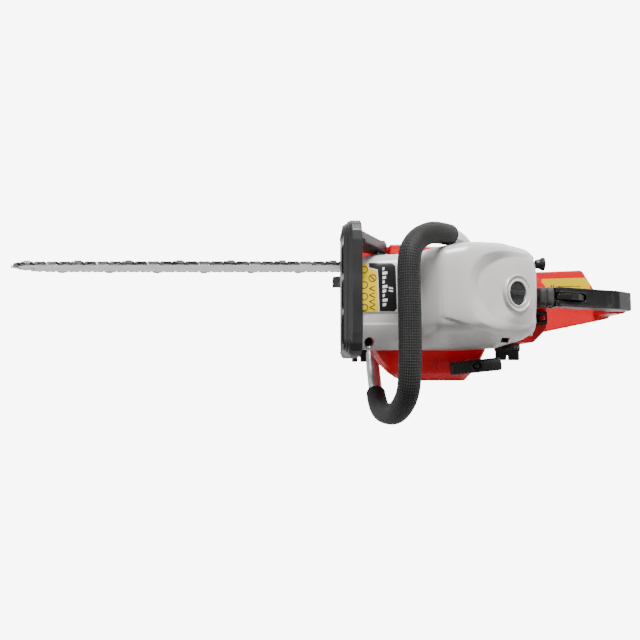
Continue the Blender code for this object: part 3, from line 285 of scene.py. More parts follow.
def drum(bm, middle, axis, radius, length, sides=32, end_radius=None):
    """A closed cylinder or cone round an axis."""
    turn = Vector((0, 0, 1)).rotation_difference(Vector(axis)).to_matrix().to_4x4()
    end = radius if end_radius is None else end_radius
    return bmesh.ops.create_cone(bm, cap_ends=True, segments=sides, radius1=radius, radius2=end, depth=length,
                                 matrix=Matrix.Translation(middle) @ turn)["verts"]


def both(bm, other):
    """Two meshes as one."""
    mesh = bpy.data.meshes.new("other")
    other.to_mesh(mesh)
    other.free()
    bm.from_mesh(mesh)
    bpy.data.meshes.remove(mesh)
    return bm


def cut_away(bm, cutter):
    """A mesh less another one."""
    target, tool = object_of("blank", bm), object_of("tool", cutter)
    boolean = target.modifiers.new("cut", "BOOLEAN")
    boolean.object = tool
    return taken(target, tool)


def taken(obj, *spent):
    """An object's finished mesh as a bmesh, with the object and its tools removed."""
    graph = bpy.context.evaluated_depsgraph_get()
    bm = bmesh.new()
    bm.from_mesh(obj.evaluated_get(graph).to_mesh())
    for done in (obj, *spent):
        bpy.data.objects.remove(done)
    return bm


def moulded(bm, skin, passes=2):
    """A mesh melted into one even skin, so that its edges come out softly rounded."""
    obj = object_of("melt", bm)
    remesh = obj.modifiers.new("skin", "REMESH")
    remesh.mode = "VOXEL"
    remesh.voxel_size = skin
    bm = taken(obj)
    for _ in range(passes):
        bmesh.ops.smooth_vert(bm, verts=bm.verts, factor=0.5, use_axis_x=True, use_axis_y=True,
                              use_axis_z=True)
    return bm


def fit_moulded(name, bm, skin, body, material, slot, node, passes=2):
    """A piece in place of a node, its edges softly rounded."""
    fit(name, moulded(bm, skin, passes), body, material, slot, node, smooth=60)


fit_moulded("crankcase_casting", merged("crankcase"), 0.0013, "saw", cast_alloy,
            "cast_aluminium", "crankcase")


# ---- Crankshaft, piston and cylinder ---------------------------------------
# Turned and ground steel throws with a pressed-in pin, a light alloy piston, and a cast
# cylinder with cooling fins. They show only through the gaps round the covers.
turned_steel = surface("turned_steel", (0.42, 0.42, 0.43), 0.3, (0.7, 0.7, 0.7), 0.95, 2600.0, 0.00003)
piston_alloy = surface("piston_alloy", (0.6, 0.61, 0.62), 0.32, (0.8, 0.8, 0.8), 0.9, 2600.0, 0.00003)
paint(turned_steel, "crank_half_left", "crank_half_right", "crank_pin", "connecting_rod", "piston_pin",
      "clutch_hub", "clutch_shoe_1", "clutch_shoe_2", "clutch_shoe_3", "clutch_drum", "brake_band",
      "recoil_spring", "throttle_plate", "choke_plate", "guard_pivot_pin", "bar_stud_1", "bar_stud_2",
      "tensioner_screw", "bar_nut_1", "bar_nut_2")
paint(piston_alloy, "piston")
fit_moulded("cylinder_casting", merged("cylinder"), 0.0011, "saw", cast_alloy, "cast_aluminium", "cylinder")
paint(cast_alloy, "carburettor", "chain_catcher", "oil_pump", "flywheel")

# ---- Spark plug, coil, intake and muffler ----------------------------------
# A glazed insulator under a rubber boot, a potted coil, a rubber intake, a felt filter, and
# a muffler pressed from sheet steel, black and blued by heat.
glaze = surface("glazed_insulator", (0.82, 0.81, 0.78), 0.12, (0.7, 0.69, 0.66), depth=0.00001)
soft_rubber = surface("soft_rubber", (0.008, 0.008, 0.0085), 0.62, (0.07, 0.07, 0.07), 0.0, 1600.0, 0.00006,
                      dusty=0.25)
hot_black = surface("heat_black_steel", (0.035, 0.033, 0.032), 0.55, (0.24, 0.19, 0.16), 0.3, 1500.0, 0.00008,
                    rubbed=0.7, dusty=0.3)
felt = surface("pressed_felt", (0.66, 0.64, 0.57), 0.9, (0.6, 0.58, 0.5), 0.0, 700.0, 0.0003)
paint(glaze, "spark_plug")
paint(soft_rubber, "plug_boot", "intake_boot", "vibration_mount_1", "vibration_mount_2")
paint(felt, "air_filter")
low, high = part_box("muffler")
muffler = merged("muffler")
louvre_gap, louvre_thick = 0.006, 0.0018
for count in range(5):
    shelf_z = low.z + 0.016 + louvre_gap * count
    shelf_end = (high.x - 0.0032, high.y - 0.026, shelf_z + louvre_thick)
    block(muffler, (high.x - 0.012, low.y + 0.008, shelf_z), shelf_end)
fit_moulded("muffler_box", muffler, 0.0011, "saw", hot_black, "dark_steel", "muffler")


# ---- Flywheel side: coil, pulley and starter cover -------------------------
# The starter cover is one glossy red moulding. Its broad face is domed at the edges, cooling
# slots fan out over the flywheel, and ribs stiffen its front shoulder.
black_nylon = surface("black_nylon", (0.009, 0.009, 0.010), 0.42, (0.07, 0.07, 0.07), 0.0, 1300.0, 0.00007,
                      rubbed=0.35, dusty=0.05, shine=0.3)
red_moulding = surface("glossy_red_moulding", (0.6, 0.004, 0.012), 0.27, (0.62, 0.1, 0.1), 0.0, 500.0,
                       0.00002, rubbed=0.25, dusty=0.03, scuffed=0.2, tint=0.06, coat=0.12,
                       shine=0.3)
paint(black_nylon, "ignition_coil", "starter_pulley")
low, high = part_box("starter_cover")
crank = Vector((0, 0, (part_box("flywheel")[0].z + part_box("flywheel")[1].z) / 2))
starter = merged("starter_cover")
slot_in, slot_out, slot_width, slot_count = 0.0245, 0.0385, 0.0032, 18
slots = bmesh.new()
for count in range(slot_count):
    angle = math.tau * count / slot_count
    reach = Vector((math.cos(angle), 0, math.sin(angle))) * (slot_in + slot_out) / 2
    middle = crank + reach + Vector((0, high.y, 0))
    half = Vector(((slot_out - slot_in) / 2, 0.006, slot_width / 2))
    block(slots, middle - half, middle + half, Matrix.Rotation(-angle, 3, "Y").to_quaternion())
starter = cut_away(starter, slots)
shoulder_x, shoulder_z, shoulder_reach = -0.018, 0.082, 0.0855
lowest_rib, rib_gap = 0.101, 0.0115
for count in range(4):
    height = lowest_rib + rib_gap * count
    line = []
    for y, taper in ((0.064, 0.0), (0.082, 0.28), (0.096, 0.66), (0.103, 0.92)):
        x = shoulder_x + shoulder_reach * (1 - 0.46 * taper)
        line.append((x, y, shoulder_z + (height - shoulder_z) * (1 - 0.44 * taper)))
    for one, other in zip(line, line[1:]):
        corners = [starter.verts.new((x + out, y, z + up)) for x, y, z in (one, other)
                   for out in (-0.002, 0.0016) for up in (-0.0011, 0.0011)]
        bmesh.ops.convex_hull(starter, input=corners)
fit_moulded("starter_housing", starter, 0.00115, "saw", red_moulding, "red_plastic", "starter_cover")

# ---- Starter rope and grip -------------------------------------------------
# A braided cord drawn tight into its eyelet, and a ribbed black T-grip that the cord is
# knotted into, under a round well in its top.
cord = surface("braided_cord", (0.72, 0.72, 0.7), 0.8, (0.5, 0.5, 0.48), 0.0, 2200.0, 0.0003)
rope_low, rope_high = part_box("starter_rope")
rope_x, rope_y = (rope_low.x + rope_high.x) / 2, (rope_low.y + rope_high.y) / 2
rope_radius = (rope_high.x - rope_low.x) / 2 - 0.0001
rope_length, strand_lay = rope_high.z - rope_low.z, 0.0055
rope = bmesh.new()
drum(rope, (rope_x, rope_y, (rope_low.z + rope_high.z) / 2), (0, 0, 1), rope_radius, rope_length, 24)
upright = [edge for edge in rope.edges if abs(edge.verts[0].co.z - edge.verts[1].co.z) > 0.01]
bmesh.ops.subdivide_edges(rope, edges=upright, cuts=90)
for vert in rope.verts:
    out = Vector((vert.co.x - rope_x, vert.co.y - rope_y, 0))
    strands = math.cos(4 * math.atan2(out.y, out.x)) * math.cos(vert.co.z * math.tau / strand_lay)
    vert.co -= out * 0.12 * (0.5 + 0.5 * strands)
pull_rope = object_of("pull_rope", rope, 60)
pull_rope.data.materials.append(cord)
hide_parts("starter_rope")
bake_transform(pull_rope)
low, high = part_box("starter_grip")
middle = (low + high) / 2
turn = Matrix.Rotation(math.radians(6), 3, "Z").to_quaternion()
grip = merged("starter_grip")
well = bmesh.new()
drum(well, (middle.x, middle.y, high.z), (0, 0, 1), 0.006, 0.007)
grip = cut_away(grip, well)
drum(grip, (middle.x, middle.y, high.z - 0.003), (0, 0, 1), 0.0042, 0.0055, end_radius=0.0026)
for side in (-1, 1):
    for count in range(4):
        along_grip = turn @ Vector((side * (0.0135 + 0.0042 * count), 0, 0))
        place = Vector((middle.x, middle.y, middle.z + 0.001)) + along_grip
        half = Vector((0.0008, 0.0081, (high.z - low.z) / 2 - 0.0016))
        block(grip, place - half, place + half, turn)
fit_moulded("starter_handle", grip, 0.0006, "starter_grip", black_nylon, "black_plastic", "starter_grip")

# ---- Clutch cover ----------------------------------------------------------
# The red cover over drum and sprocket, held by the two bar nuts. Three bracing ribs cross its
# flat face, and the lug ahead of the hand guard's pivot shows above it.
low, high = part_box("clutch_cover")
cover = merged("clutch_cover")
for count in range(3):
    rib_z = low.z + 0.03 + 0.014 * count
    rib_start = (low.x + 0.012 + 0.004 * count, low.y - 0.0004, rib_z)
    block(cover, rib_start, (low.x + 0.074, low.y + 0.004, rib_z + 0.002))
fit_moulded("clutch_housing", cover, 0.0011, "saw", red_moulding, "red_plastic", "clutch_cover")

# ---- Guide bar -------------------------------------------------------------
# Two ground steel plates spot-welded either side of a core that stops short of the rim, which
# leaves the groove that the chain's tangs run in. Four rivets hold the nose's sprocket.
ground_steel = surface("ground_bar_steel", (0.27, 0.27, 0.265), 0.3, (0.5, 0.5, 0.5), 0.92, 500.0, 0.00003,
                       rubbed=0.9, dusty=0.15, scuffed=0.9)
bar_low, bar_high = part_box("guide_bar")
bar_y = (bar_low.y + bar_high.y) / 2
bar_z = (bar_low.z + bar_high.z) / 2
nose_half = 0.027
nose_x = bar_high.x - nose_half
belly = (bar_high.z - bar_low.z) / 2 - nose_half
rail_start = bar_low.x + 0.015
groove_half, groove_depth = 0.0008, 0.0045


def bar_half_height(x):
    """Half the bar's height at x, a shallow belly between tail and nose."""
    return nose_half + belly * math.sin(math.pi * (x - rail_start) / (nose_x - rail_start))


def faced_out(bm):
    """Every face turned outwards."""
    bmesh.ops.recalc_face_normals(bm, faces=bm.faces)


def thickened(bm, faces, depth):
    """Faces pushed out by a vector, so that they close into a slab."""
    pushed = bmesh.ops.extrude_face_region(bm, geom=faces)
    moved = [part for part in pushed["geom"] if isinstance(part, bmesh.types.BMVert)]
    bmesh.ops.translate(bm, verts=moved, vec=depth)


def plate(bm, y_low, y_high, inset):
    """One lamination of the bar, its rim set back by an inset."""
    rim = [(nose_x + (nose_half - inset) * math.cos(a), (nose_half - inset) * math.sin(a))
           for a in (math.pi / 2 - math.pi * k / 28 for k in range(29))]
    steps = [nose_x + (rail_start - nose_x) * k / 24 for k in range(1, 25)]
    under = [(x, -bar_half_height(x) + inset) for x in steps]
    tail = 0.55 * nose_half - inset
    rim += under + [(bar_low.x + inset, -tail), (bar_low.x + inset, tail)]
    rim += [(x, -z) for x, z in reversed(under)]
    face = bm.faces.new([bm.verts.new((x, y_low, bar_z + z)) for x, z in rim])
    thickened(bm, [face], (0, y_high - y_low, 0))


bar = bmesh.new()
plate(bar, bar_low.y, bar_y - groove_half, 0)
plate(bar, bar_y - groove_half - 0.0001, bar_y + groove_half + 0.0001, groove_depth)
plate(bar, bar_y + groove_half, bar_high.y, 0)
faced_out(bar)
holes = bmesh.new()
rear_stud, front_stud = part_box("bar_stud_1"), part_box("bar_stud_2")
slot_from = (rear_stud[0].x + rear_stud[1].x) / 2
slot_to = (front_stud[0].x + front_stud[1].x) / 2 + 0.01
slot = drum(holes, (slot_from, bar_y, bar_z), (0, 1, 0), 0.0046, 0.02)
front_half = [vert for vert in slot if vert.co.x > slot_from + 0.0001]
bmesh.ops.translate(holes, verts=front_half, vec=(slot_to - slot_from, 0, 0))
for x, z in ((0.1, 0.012), (0.1, -0.012)):
    drum(holes, (x, bar_y, bar_z + z), (0, 1, 0), 0.0025, 0.02, 20)
drum(holes, (nose_x + 0.009, bar_y, bar_z), (0, 1, 0), 0.003, 0.02, 20)
bar = cut_away(bar, holes)
rivet_ring = 0.011
for angle in (45, 135, 225, 315):
    x = nose_x - 0.012 + rivet_ring * math.cos(math.radians(angle))
    z = bar_z + rivet_ring * math.sin(math.radians(angle))
    for side in (-1, 1):
        drum(bar, (x, bar_y + side * 0.00205, z), (0, side, 0), 0.0026, 0.0004, 20, end_radius=0.0018)
fit("bar_blade", bar, "saw", ground_steel, "bar_steel", "guide_bar", smooth=25)
paint(turned_steel, "nose_sprocket")

# ---- Saw chain -------------------------------------------------------------
# Blued drive links and tie straps on rivets, with chromed cutters left and right in turn and a
# depth gauge ahead of each tooth. Two rivets stand one pitch apart, and every drive link
# drops a tang into the bar's groove.
blued_steel = surface("blued_link_steel", (0.03, 0.031, 0.034), 0.33, (0.3, 0.3, 0.3), 0.8, 2200.0, 0.00004,
                      rubbed=0.8)
chromed_steel = surface("chromed_cutter_steel", (0.6, 0.6, 0.6), 0.2, (0.85, 0.85, 0.85), 0.95, 1800.0,
                        0.00002, rubbed=0.6, dusty=0.1)
pitch = 0.008255
rivet_z = 0.0034
rail_gap = 0.00035
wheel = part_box("clutch_drum")
wheel_x, wheel_z = (wheel[0].x + wheel[1].x) / 2, (wheel[0].z + wheel[1].z) / 2
wheel_radius = 0.0162


def chain_route():
    """Points along the rail line, forward over the top, round the nose, and back underneath."""
    runs = [nose_x + (rail_start - nose_x) * k / 60 for k in range(61)]
    under = [(x, bar_z - bar_half_height(x)) for x in runs]
    nose = [(nose_x + nose_half * math.cos(a), bar_z + nose_half * math.sin(a))
            for a in (math.pi / 2 - math.pi * k / 40 for k in range(1, 40))]
    turns = [math.radians(a) for a in range(260, 99, -8)]
    tail = [(wheel_x + wheel_radius * math.cos(a), wheel_z + wheel_radius * math.sin(a)) for a in turns]
    over = [(x, 2 * bar_z - z) for x, z in reversed(under)]
    return [Vector((x, 0, z)) for x, z in over + nose + under + tail]


route = chain_route()
lengths = [0.0]
for here, there in zip(route, route[1:] + route[:1]):
    lengths.append(lengths[-1] + (there - here).length)


def on_route(distance):
    """The place and heading at a distance along the route."""
    distance %= lengths[-1]
    step = max(k for k in range(len(route)) if lengths[k] <= distance)
    here, there = route[step], route[(step + 1) % len(route)]
    return here + (there - here) * (distance - lengths[step]) / (lengths[step + 1] - lengths[step]), \
        (there - here).normalized()


def link_plate(bm, outline, y_low, y_high):
    """A stamped link plate from its outline, x along the chain and z away from the bar."""
    face = bm.faces.new([bm.verts.new((x, y_low, z)) for x, z in outline])
    thickened(bm, [face], (0, y_high - y_low, 0))


def strap_outline(waist):
    """A figure of eight round two rivets."""
    ends = []
    for side in (1, -1):
        for k in range(5):
            a = math.radians(-70 + 35 * k)
            ends.append((side * (pitch / 2 + 0.0031 * math.cos(a)), rivet_z + side * 0.003 * math.sin(a)))
        ends.append((0, rivet_z + side * waist))
    return ends


def rivet_heads(bm, y, side):
    """The peened heads of a link's two rivets, on one side of the chain."""
    for end in (-1, 1):
        drum(bm, (end * pitch / 2, y, rivet_z), (0, side, 0), 0.0017, 0.0006, 10, end_radius=0.0012)


def strap(side):
    """A tie strap on one side of the chain."""
    bm = bmesh.new()
    inner, outer = sorted((side * 0.0008, side * 0.0019))
    link_plate(bm, strap_outline(0.0021), inner, outer)
    rivet_heads(bm, side * 0.0021, side)
    return bm


def drive_link():
    """The middle link, with the tang that runs in the bar's groove."""
    bm = bmesh.new()
    outline = [(-0.0068, 0.0012), (-0.0038, -0.0005), (-0.0022, -0.0036), (0.001, -0.0036), (0.0038, -0.0005),
               (0.0068, 0.0012), (0.0072, 0.0036), (0.0056, 0.0062), (0, 0.0052), (-0.0056, 0.0062),
               (-0.0072, 0.0036)]
    link_plate(bm, outline, -0.0007, 0.0007)
    return bm


def cutter(side):
    """A side plate with its depth gauge in front, and a top plate bent over towards the middle."""
    bm = bmesh.new()
    inner, outer = sorted((side * 0.0008, side * 0.0021))
    outline = [(-0.0072, 0.0012), (0.0072, 0.0012), (0.0077, 0.0042), (0.0072, 0.0078), (0.0052, 0.0082),
               (0.0042, 0.0056), (0.0016, 0.0049), (0.0011, 0.0088), (-0.0064, 0.0085), (-0.0076, 0.0044)]
    link_plate(bm, outline, inner, outer)
    inner, outer = sorted((side * -0.0009, side * 0.0029))
    roof = [(-0.0064, 0.0078), (0.0014, 0.0084), (0.0021, 0.0091), (-0.0066, 0.0085)]
    link_plate(bm, roof, inner, outer)
    leading = [v for v in bm.verts if 0.0012 < v.co.x < 0.003 and v.co.z > 0.008]
    for vert in leading:
        vert.co.x -= 0.0016 * (0.0029 - side * vert.co.y) / 0.0038
    rivet_heads(bm, side * 0.0023, side)
    return bm


def laid(bm, kind, distance):
    """One link added to the chain at a distance along its route."""
    place, heading = on_route(distance)
    outward = Vector((-heading.z, 0, heading.x))
    turn = Matrix((heading, (0, 1, 0), outward)).transposed().to_4x4()
    place = Vector((place.x, bar_y, place.z)) + outward * rail_gap
    before = len(bm.verts)
    bm.from_mesh(kind)
    bm.verts.ensure_lookup_table()
    bmesh.ops.transform(bm, verts=bm.verts[before:], matrix=Matrix.Translation(place) @ turn)


def kept(bm):
    """A link's mesh, kept to be laid many times."""
    faced_out(bm)
    mesh = bpy.data.meshes.new("link")
    bm.to_mesh(mesh)
    bm.free()
    return mesh


links = {"left strap": kept(strap(1)), "right strap": kept(strap(-1)), "drive": kept(drive_link()),
         "left cutter": kept(cutter(1)), "right cutter": kept(cutter(-1))}
count_of_links = 2 * round(lengths[-1] / (4 * pitch))
spacing = lengths[-1] / count_of_links
dark_chain, bright_chain = bmesh.new(), bmesh.new()
for count in range(count_of_links):
    distance = (count + 0.4) * spacing
    laid(dark_chain, links["drive"], distance + spacing / 2)
    tooth = {0: "right", 2: "left"}.get(count % 4)
    for side in ("left", "right"):
        if side == tooth:
            laid(bright_chain, links[side + " cutter"], distance)
        else:
            laid(dark_chain, links[side + " strap"], distance)
fit("chain_links", dark_chain, "saw", blued_steel, "chain_steel", "saw_chain", smooth=25)
fit("chain_cutters", bright_chain, "saw", chromed_steel, "chain_steel", "saw_chain", smooth=25)

# ---- Bumper spikes and chain catcher ---------------------------------------
# A punched steel plate with two prongs on the case's front, painted black and rubbed bare at
# the tips, and a soft alloy hook below the bar that stops a broken chain.
fit_moulded("spike_plate", merged("bumper_spikes"), 0.0006, "saw", hot_black, "dark_steel", "bumper_spikes")

# ---- Front handle ----------------------------------------------------------
# A drawn alloy tube bent round the saw, from the tank's lug on the right, over the top and
# down to a clamp on the left. Black rubber is drawn over most of it, with a fine diamond knurl
# where the hand holds it and a rolled collar at each end.
tube_alloy = surface("drawn_tube_alloy", (0.62, 0.63, 0.65), 0.3, (0.85, 0.85, 0.86), 0.92, 1800.0, 0.00003,
                     rubbed=0.5, scuffed=0.8)
tube_radius, grip_radius = 0.0092, 0.01284
lug_y, clamp_x, clamp_z = -0.0615, 0.060, 0.050
knots = [(-0.062, lug_y, 0.112), (-0.054, lug_y - 0.003, 0.136), (-0.036, -0.070, 0.170),
         (-0.012, -0.069, 0.204), (0.008, -0.064, 0.228), (0.026, -0.050, 0.246), (0.034, -0.026, 0.255),
         (0.034, 0.035, 0.257), (0.034, 0.092, 0.254), (0.036, 0.122, 0.240), (0.043, 0.141, 0.208),
         (0.050, 0.146, 0.165), (0.055, 0.143, 0.120), (0.057, 0.130, 0.082), (0.058, 0.108, 0.059),
         (clamp_x, 0.080, clamp_z + 0.001), (clamp_x, 0.0465, clamp_z)]


def smooth_route(points, per_span):
    """Points on a smooth curve through some places."""
    points = [Vector(p) for p in points]
    padded = [2 * points[0] - points[1]] + points + [2 * points[-1] - points[-2]]
    route = []
    for a, b, c, d in zip(padded, padded[1:], padded[2:], padded[3:]):
        for k in range(per_span):
            t = k / per_span
            route.append(0.5 * (2 * b + (c - a) * t + (2 * a - 5 * b + 4 * c - d) * t ** 2
                                + (3 * b - a - 3 * c + d) * t ** 3))
    return route + [points[-1]]


def rings_joined(bm, rings, sides):
    """Rings of edges bridged one to the next, and both ends filled."""
    for ring, following in zip(rings, rings[1:]):
        bmesh.ops.bridge_loops(bm, edges=ring + following)
    bmesh.ops.holes_fill(bm, edges=rings[0] + rings[-1], sides=sides)
    faced_out(bm)
    return bm


def sleeve(route, radius_at, sides=48, seam_side=(0, 0, -1)):
    """A closed tube along a route, its radius a function of the length so far, with the length and
    the angle round it kept on its points for the pattern."""
    bm = bmesh.new()
    along, around = bm.verts.layers.float.new("along"), bm.verts.layers.float.new("around")
    rings, run = [], 0.0
    for step, place in enumerate(route):
        ahead = (route[min(step + 1, len(route) - 1)] - route[max(step - 1, 0)]).normalized()
        run += (place - route[step - 1]).length if step else 0.0
        out = Vector(seam_side) - ahead * ahead.dot(Vector(seam_side))
        out.normalize()
        turn = Matrix((out, ahead.cross(out), ahead)).transposed().to_4x4()
        ring = bmesh.ops.create_circle(bm, segments=sides, radius=radius_at(run),
                                       matrix=Matrix.Translation(place) @ turn)["verts"]
        for vert in ring:
            flat = turn.inverted() @ (vert.co - place)
            vert[along] = run
            vert[around] = math.atan2(flat.y, flat.x) % math.tau
        rings.append(list({edge for vert in ring for edge in vert.link_edges}))
    return rings_joined(bm, rings, sides)


handle_route = smooth_route(knots, 10)
fit("handle_tube", sleeve(handle_route, lambda run: tube_radius, 40), "saw", tube_alloy, "bare_aluminium",
    "front_handle_tube", smooth=50)
grip_route = smooth_route(knots, 16)[40:216]
grip_length = sum((b - a).length for a, b in zip(grip_route, grip_route[1:]))
collar, lip = 0.006, 0.0008


def grip_radius_at(run):
    """The rubber's radius: rolled in at both ends, with a shallow neck inside each collar."""
    end = min(run, grip_length - run)
    roll = math.sqrt(max(0.0, 1 - (1 - min(end / 0.0022, 1)) ** 2))
    neck = lip * math.exp(-((end - collar) / 0.0012) ** 2)
    return tube_radius + 0.0007 + (grip_radius - tube_radius - 0.0007) * roll - neck


rubber_knurl = surface("knurled_rubber", (0.008, 0.0085, 0.0085), 0.55, (0.04, 0.042, 0.042), 0.0, 1500.0,
                       0.00008, rubbed=0.2, dusty=0.04, scuffed=0.15, shine=0.15)
tree = rubber_knurl.node_tree
shader = tree.nodes["Principled BSDF"]
diamonds, knurl_pitch = 15.0, 0.0058
run = add(tree, "Attribute", attribute_name="along").outputs["Fac"]
down = maths(tree, "MULTIPLY", run, math.tau / knurl_pitch)
swing = add(tree, "Attribute", attribute_name="around").outputs["Fac"]
round_it = maths(tree, "MULTIPLY", swing, diamonds)
one_way = maths(tree, "SINE", maths(tree, "ADD", round_it, down))
other_way = maths(tree, "SINE", maths(tree, "SUBTRACT", round_it, down))
pips = maths(tree, "MULTIPLY", maths(tree, "MULTIPLY", one_way, other_way), 1.6, clamp=True)
from_hold = maths(tree, "ABSOLUTE", maths(tree, "SUBTRACT", run, grip_length * 0.42))
past_hold = maths(tree, "MULTIPLY", maths(tree, "SUBTRACT", from_hold, 0.085), 40.0)
held = maths(tree, "SUBTRACT", 1.0, past_hold, clamp=True)
pips = maths(tree, "MULTIPLY", pips, held)
knurl_bump = add(tree, "Bump", {"Height": pips, "Strength": 1.0, "Distance": 0.0006,
                                "Normal": shader.inputs["Normal"].links[0].from_socket})
tree.links.new(knurl_bump.outputs["Normal"], shader.inputs["Normal"])
# The knurl's raised pips are painted lighter: a painted sheen on their tops, added to the rubber's colour.
painted_pip_sheen = blend(tree, maths(tree, "MULTIPLY", pips, 0.55), (0, 0, 0), (0.06, 0.062, 0.064))
plain = shader.inputs["Base Color"].links[0].from_socket
knurl_with_painted_sheen = add(tree, "Mix", {0: 1.0, 6: plain, 7: painted_pip_sheen}, data_type="RGBA", blend_type="ADD")
tree.links.new(knurl_with_painted_sheen.outputs[2], shader.inputs["Base Color"])
fit("handle_rubber", sleeve(grip_route, grip_radius_at), "saw", rubber_knurl, "black_rubber",
    "front_handle_grip", smooth=50)
fit_moulded("handle_clamp_block", merged("handle_clamp"), 0.0008, "saw", black_nylon,
            "black_plastic", "handle_clamp")

# ---- Top cover -------------------------------------------------------------
# One thin moulding in light grey over the whole engine. A low deck at the front turns up in a
# hollow sweep to the crest, and behind the crest a bullet-shaped panel is let into the slope
# with a crescent wall round it. The knob's cup and its ring are moulded in the panel.
grey_moulding = surface("light_grey_moulding", (0.52, 0.505, 0.495), 0.3, (0.66, 0.65, 0.64), 0.0, 420.0,
                        0.00002, rubbed=0.2, dusty=0.1, scuffed=0.25, tint=0.03, coat=0.25)
cover_low, cover_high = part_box("top_cover")
front, rear, crest = cover_high.x, cover_low.x, cover_high.z
deck = crest - 0.030
left_seam, right_seam = 0.150, cover_low.z
wall = 0.0025
top_line = [(rear, crest - 0.052), (-0.125, crest - 0.044), (-0.088, crest - 0.021), (-0.062, crest - 0.006),
            (-0.040, crest), (-0.012, crest), (-0.006, crest - 0.002), (0.0, crest - 0.010),
            (0.006, deck + 0.009), (0.012, deck + 0.0025), (0.020, deck), (front - 0.016, deck - 0.001),
            (front, deck - 0.006)]
right_line = [(rear, -0.048), (-0.125, -0.058), (-0.088, -0.0645), (-0.044, -0.063), (-0.015, -0.058),
              (0.016, -0.053), (front - 0.007, -0.049), (front, -0.046)]
left_line = [(rear, 0.046), (-0.125, 0.054), (-0.088, 0.0655), (-0.044, 0.068), (front - 0.007, 0.068),
             (front, 0.066)]
low_line = [(rear, left_seam - 0.022), (-0.092, left_seam - 0.022), (-0.084, left_seam), (front, left_seam)]


def eased(x, line, ease=0.005):
    """A height or breadth at x from a line of places, its corners eased over a length."""
    total = 0.0
    for k in range(-4, 5):
        at = min(max(x + ease * k / 4, line[0][0]), line[-1][0])
        step = max(n for n in range(len(line) - 1) if line[n][0] <= at)
        (x0, v0), (x1, v1) = line[step], line[step + 1]
        total += v0 + (v1 - v0) * (at - x0) / (x1 - x0)
    return total / 9


def across_cover(x, share):
    """A point on the cover's section at x, from the right edge (share 0) to the left one (share 1)."""
    top, low = eased(x, top_line), eased(x, low_line, 0.002)
    right, left = eased(x, right_line), eased(x, left_line)
    drop = top - left_seam
    steep, slant = left_seam + 0.45 * drop, left_seam + 0.42 * drop
    points = [(right, right_seam), (right, right_seam + 0.012), (right, steep), (right + 0.004, top - 0.011),
              (right + 0.010, top - 0.003), (right + 0.026, top), (0.0, top + 0.0006), (left - 0.038, top),
              (left - 0.023, top - 0.005), (left - 0.012, top - 0.5 * drop + 0.004),
              (left - 0.003, slant - 0.006), (left, low + 0.006), (left, low)]
    points = [points[0]] + points + [points[-1]]
    spans = len(points) - 2
    place = min(share * spans, spans - 1e-6)
    n, t = int(place), place - int(place)
    a, b, c = (Vector(p) for p in points[n:n + 3])
    return ((1 - t) ** 2 / 2) * a + (0.5 + t - t * t) * b + (t * t / 2) * c


def step_up(value, start, end):
    """0 before start, 1 after end, easing between."""
    t = min(max((value - start) / (end - start), 0.0), 1.0)
    return t * t * (3 - 2 * t)


def sunk(x, y):
    """How far the panel and its crescent lie below the shell: the wall falls between two outlines."""
    ahead = max(0.0, (x + 0.116) / 0.075)
    outer = ((min(ahead, 2.0)) ** 3 + abs((y + 0.002) / 0.0485) ** 3) ** (1 / 3)
    ahead = max(0.0, (x + 0.117) / 0.064)
    inner = math.hypot(ahead, (y + 0.004) / 0.041)
    if outer >= 1:
        return 0.0
    if inner <= 1:
        return 1.0
    share = (1 - outer) / ((1 - outer) + 0.9 * (inner - 1))
    return min(1.0, share * 1.08)


shell = bmesh.new()
rows, columns = 172, 132
bmesh.ops.create_grid(shell, x_segments=rows, y_segments=columns, size=1)
front_rows, rear_rows = 0.06, 0.05
handle_clearance = grip_radius + 0.0016
near_handle = handle_route[:80]
for vert in shell.verts:
    along, share = (vert.co.x + 1) / 2, (vert.co.y + 1) / 2
    flank = 1.0
    if along < rear_rows:
        x, flank = rear, along / rear_rows
    elif along > 1 - front_rows:
        x, flank = front, (1 - along) / front_rows
    else:
        x = rear + (front - rear) * (along - rear_rows) / (1 - rear_rows - front_rows)
    y, z = across_cover(x, share)
    edge_y0, edge_y1 = across_cover(x, 0), across_cover(x, 1)
    edge = edge_y0.y + (edge_y1.y - edge_y0.y) * min(max((y - edge_y0.x) / (edge_y1.x - edge_y0.x), 0), 1)
    z = edge + (z - edge) * (flank ** 0.8)
    round_end = min(x - rear, front - x)
    if round_end < 0.008 and flank >= 1.0:
        z -= 0.007 * (1 - math.sqrt(1 - (1 - round_end / 0.008) ** 2)) * step_up(z - edge, 0.004, 0.02)
    elif flank < 1.0:
        z -= 0.007 * step_up(z - edge, 0.004, 0.02)
    middle_y = (edge_y0.x + edge_y1.x) / 2
    upper = step_up(z - edge, 0.012, 0.03)
    if flank >= 1.0:
        z -= 0.0085 * sunk(x, y) * upper * (0.24 + 0.76 * step_up(x, -0.112, -0.066))
        crease = y - (0.0335 + (-0.0165 - x) * 0.30)
        creased = 0.0016 * step_up(crease, -0.0012, 0.0012) * step_up(x, -0.092, -0.078)
        z -= creased * step_up(-x, 0.004, 0.018) * upper
        z -= 0.0013 * step_up(y, 0.024, 0.0255) * step_up(-y, -0.0385, -0.036) * step_up(x, 0.014, 0.022)
    place = Vector((x, y, z))
    nearest = min(near_handle, key=lambda p: (p - place).length_squared)
    gap = (place - nearest).length
    if gap < handle_clearance:
        place = nearest + (place - nearest) * (handle_clearance / gap)
    vert.co = place
faced_out(shell)
if max(shell.faces, key=lambda f: f.calc_center_median().z).normal.z < 0:
    bmesh.ops.reverse_faces(shell, faces=shell.faces)
sheet = object_of("sheet", shell)
thickness = sheet.modifiers.new("wall", "SOLIDIFY")
thickness.thickness = wall
shell = taken(sheet)
panel_x = -0.107
slope = math.atan2(0.031, 0.049)
panel_z = crest - 0.052 + (panel_x - rear) * math.tan(slope) - 0.0022
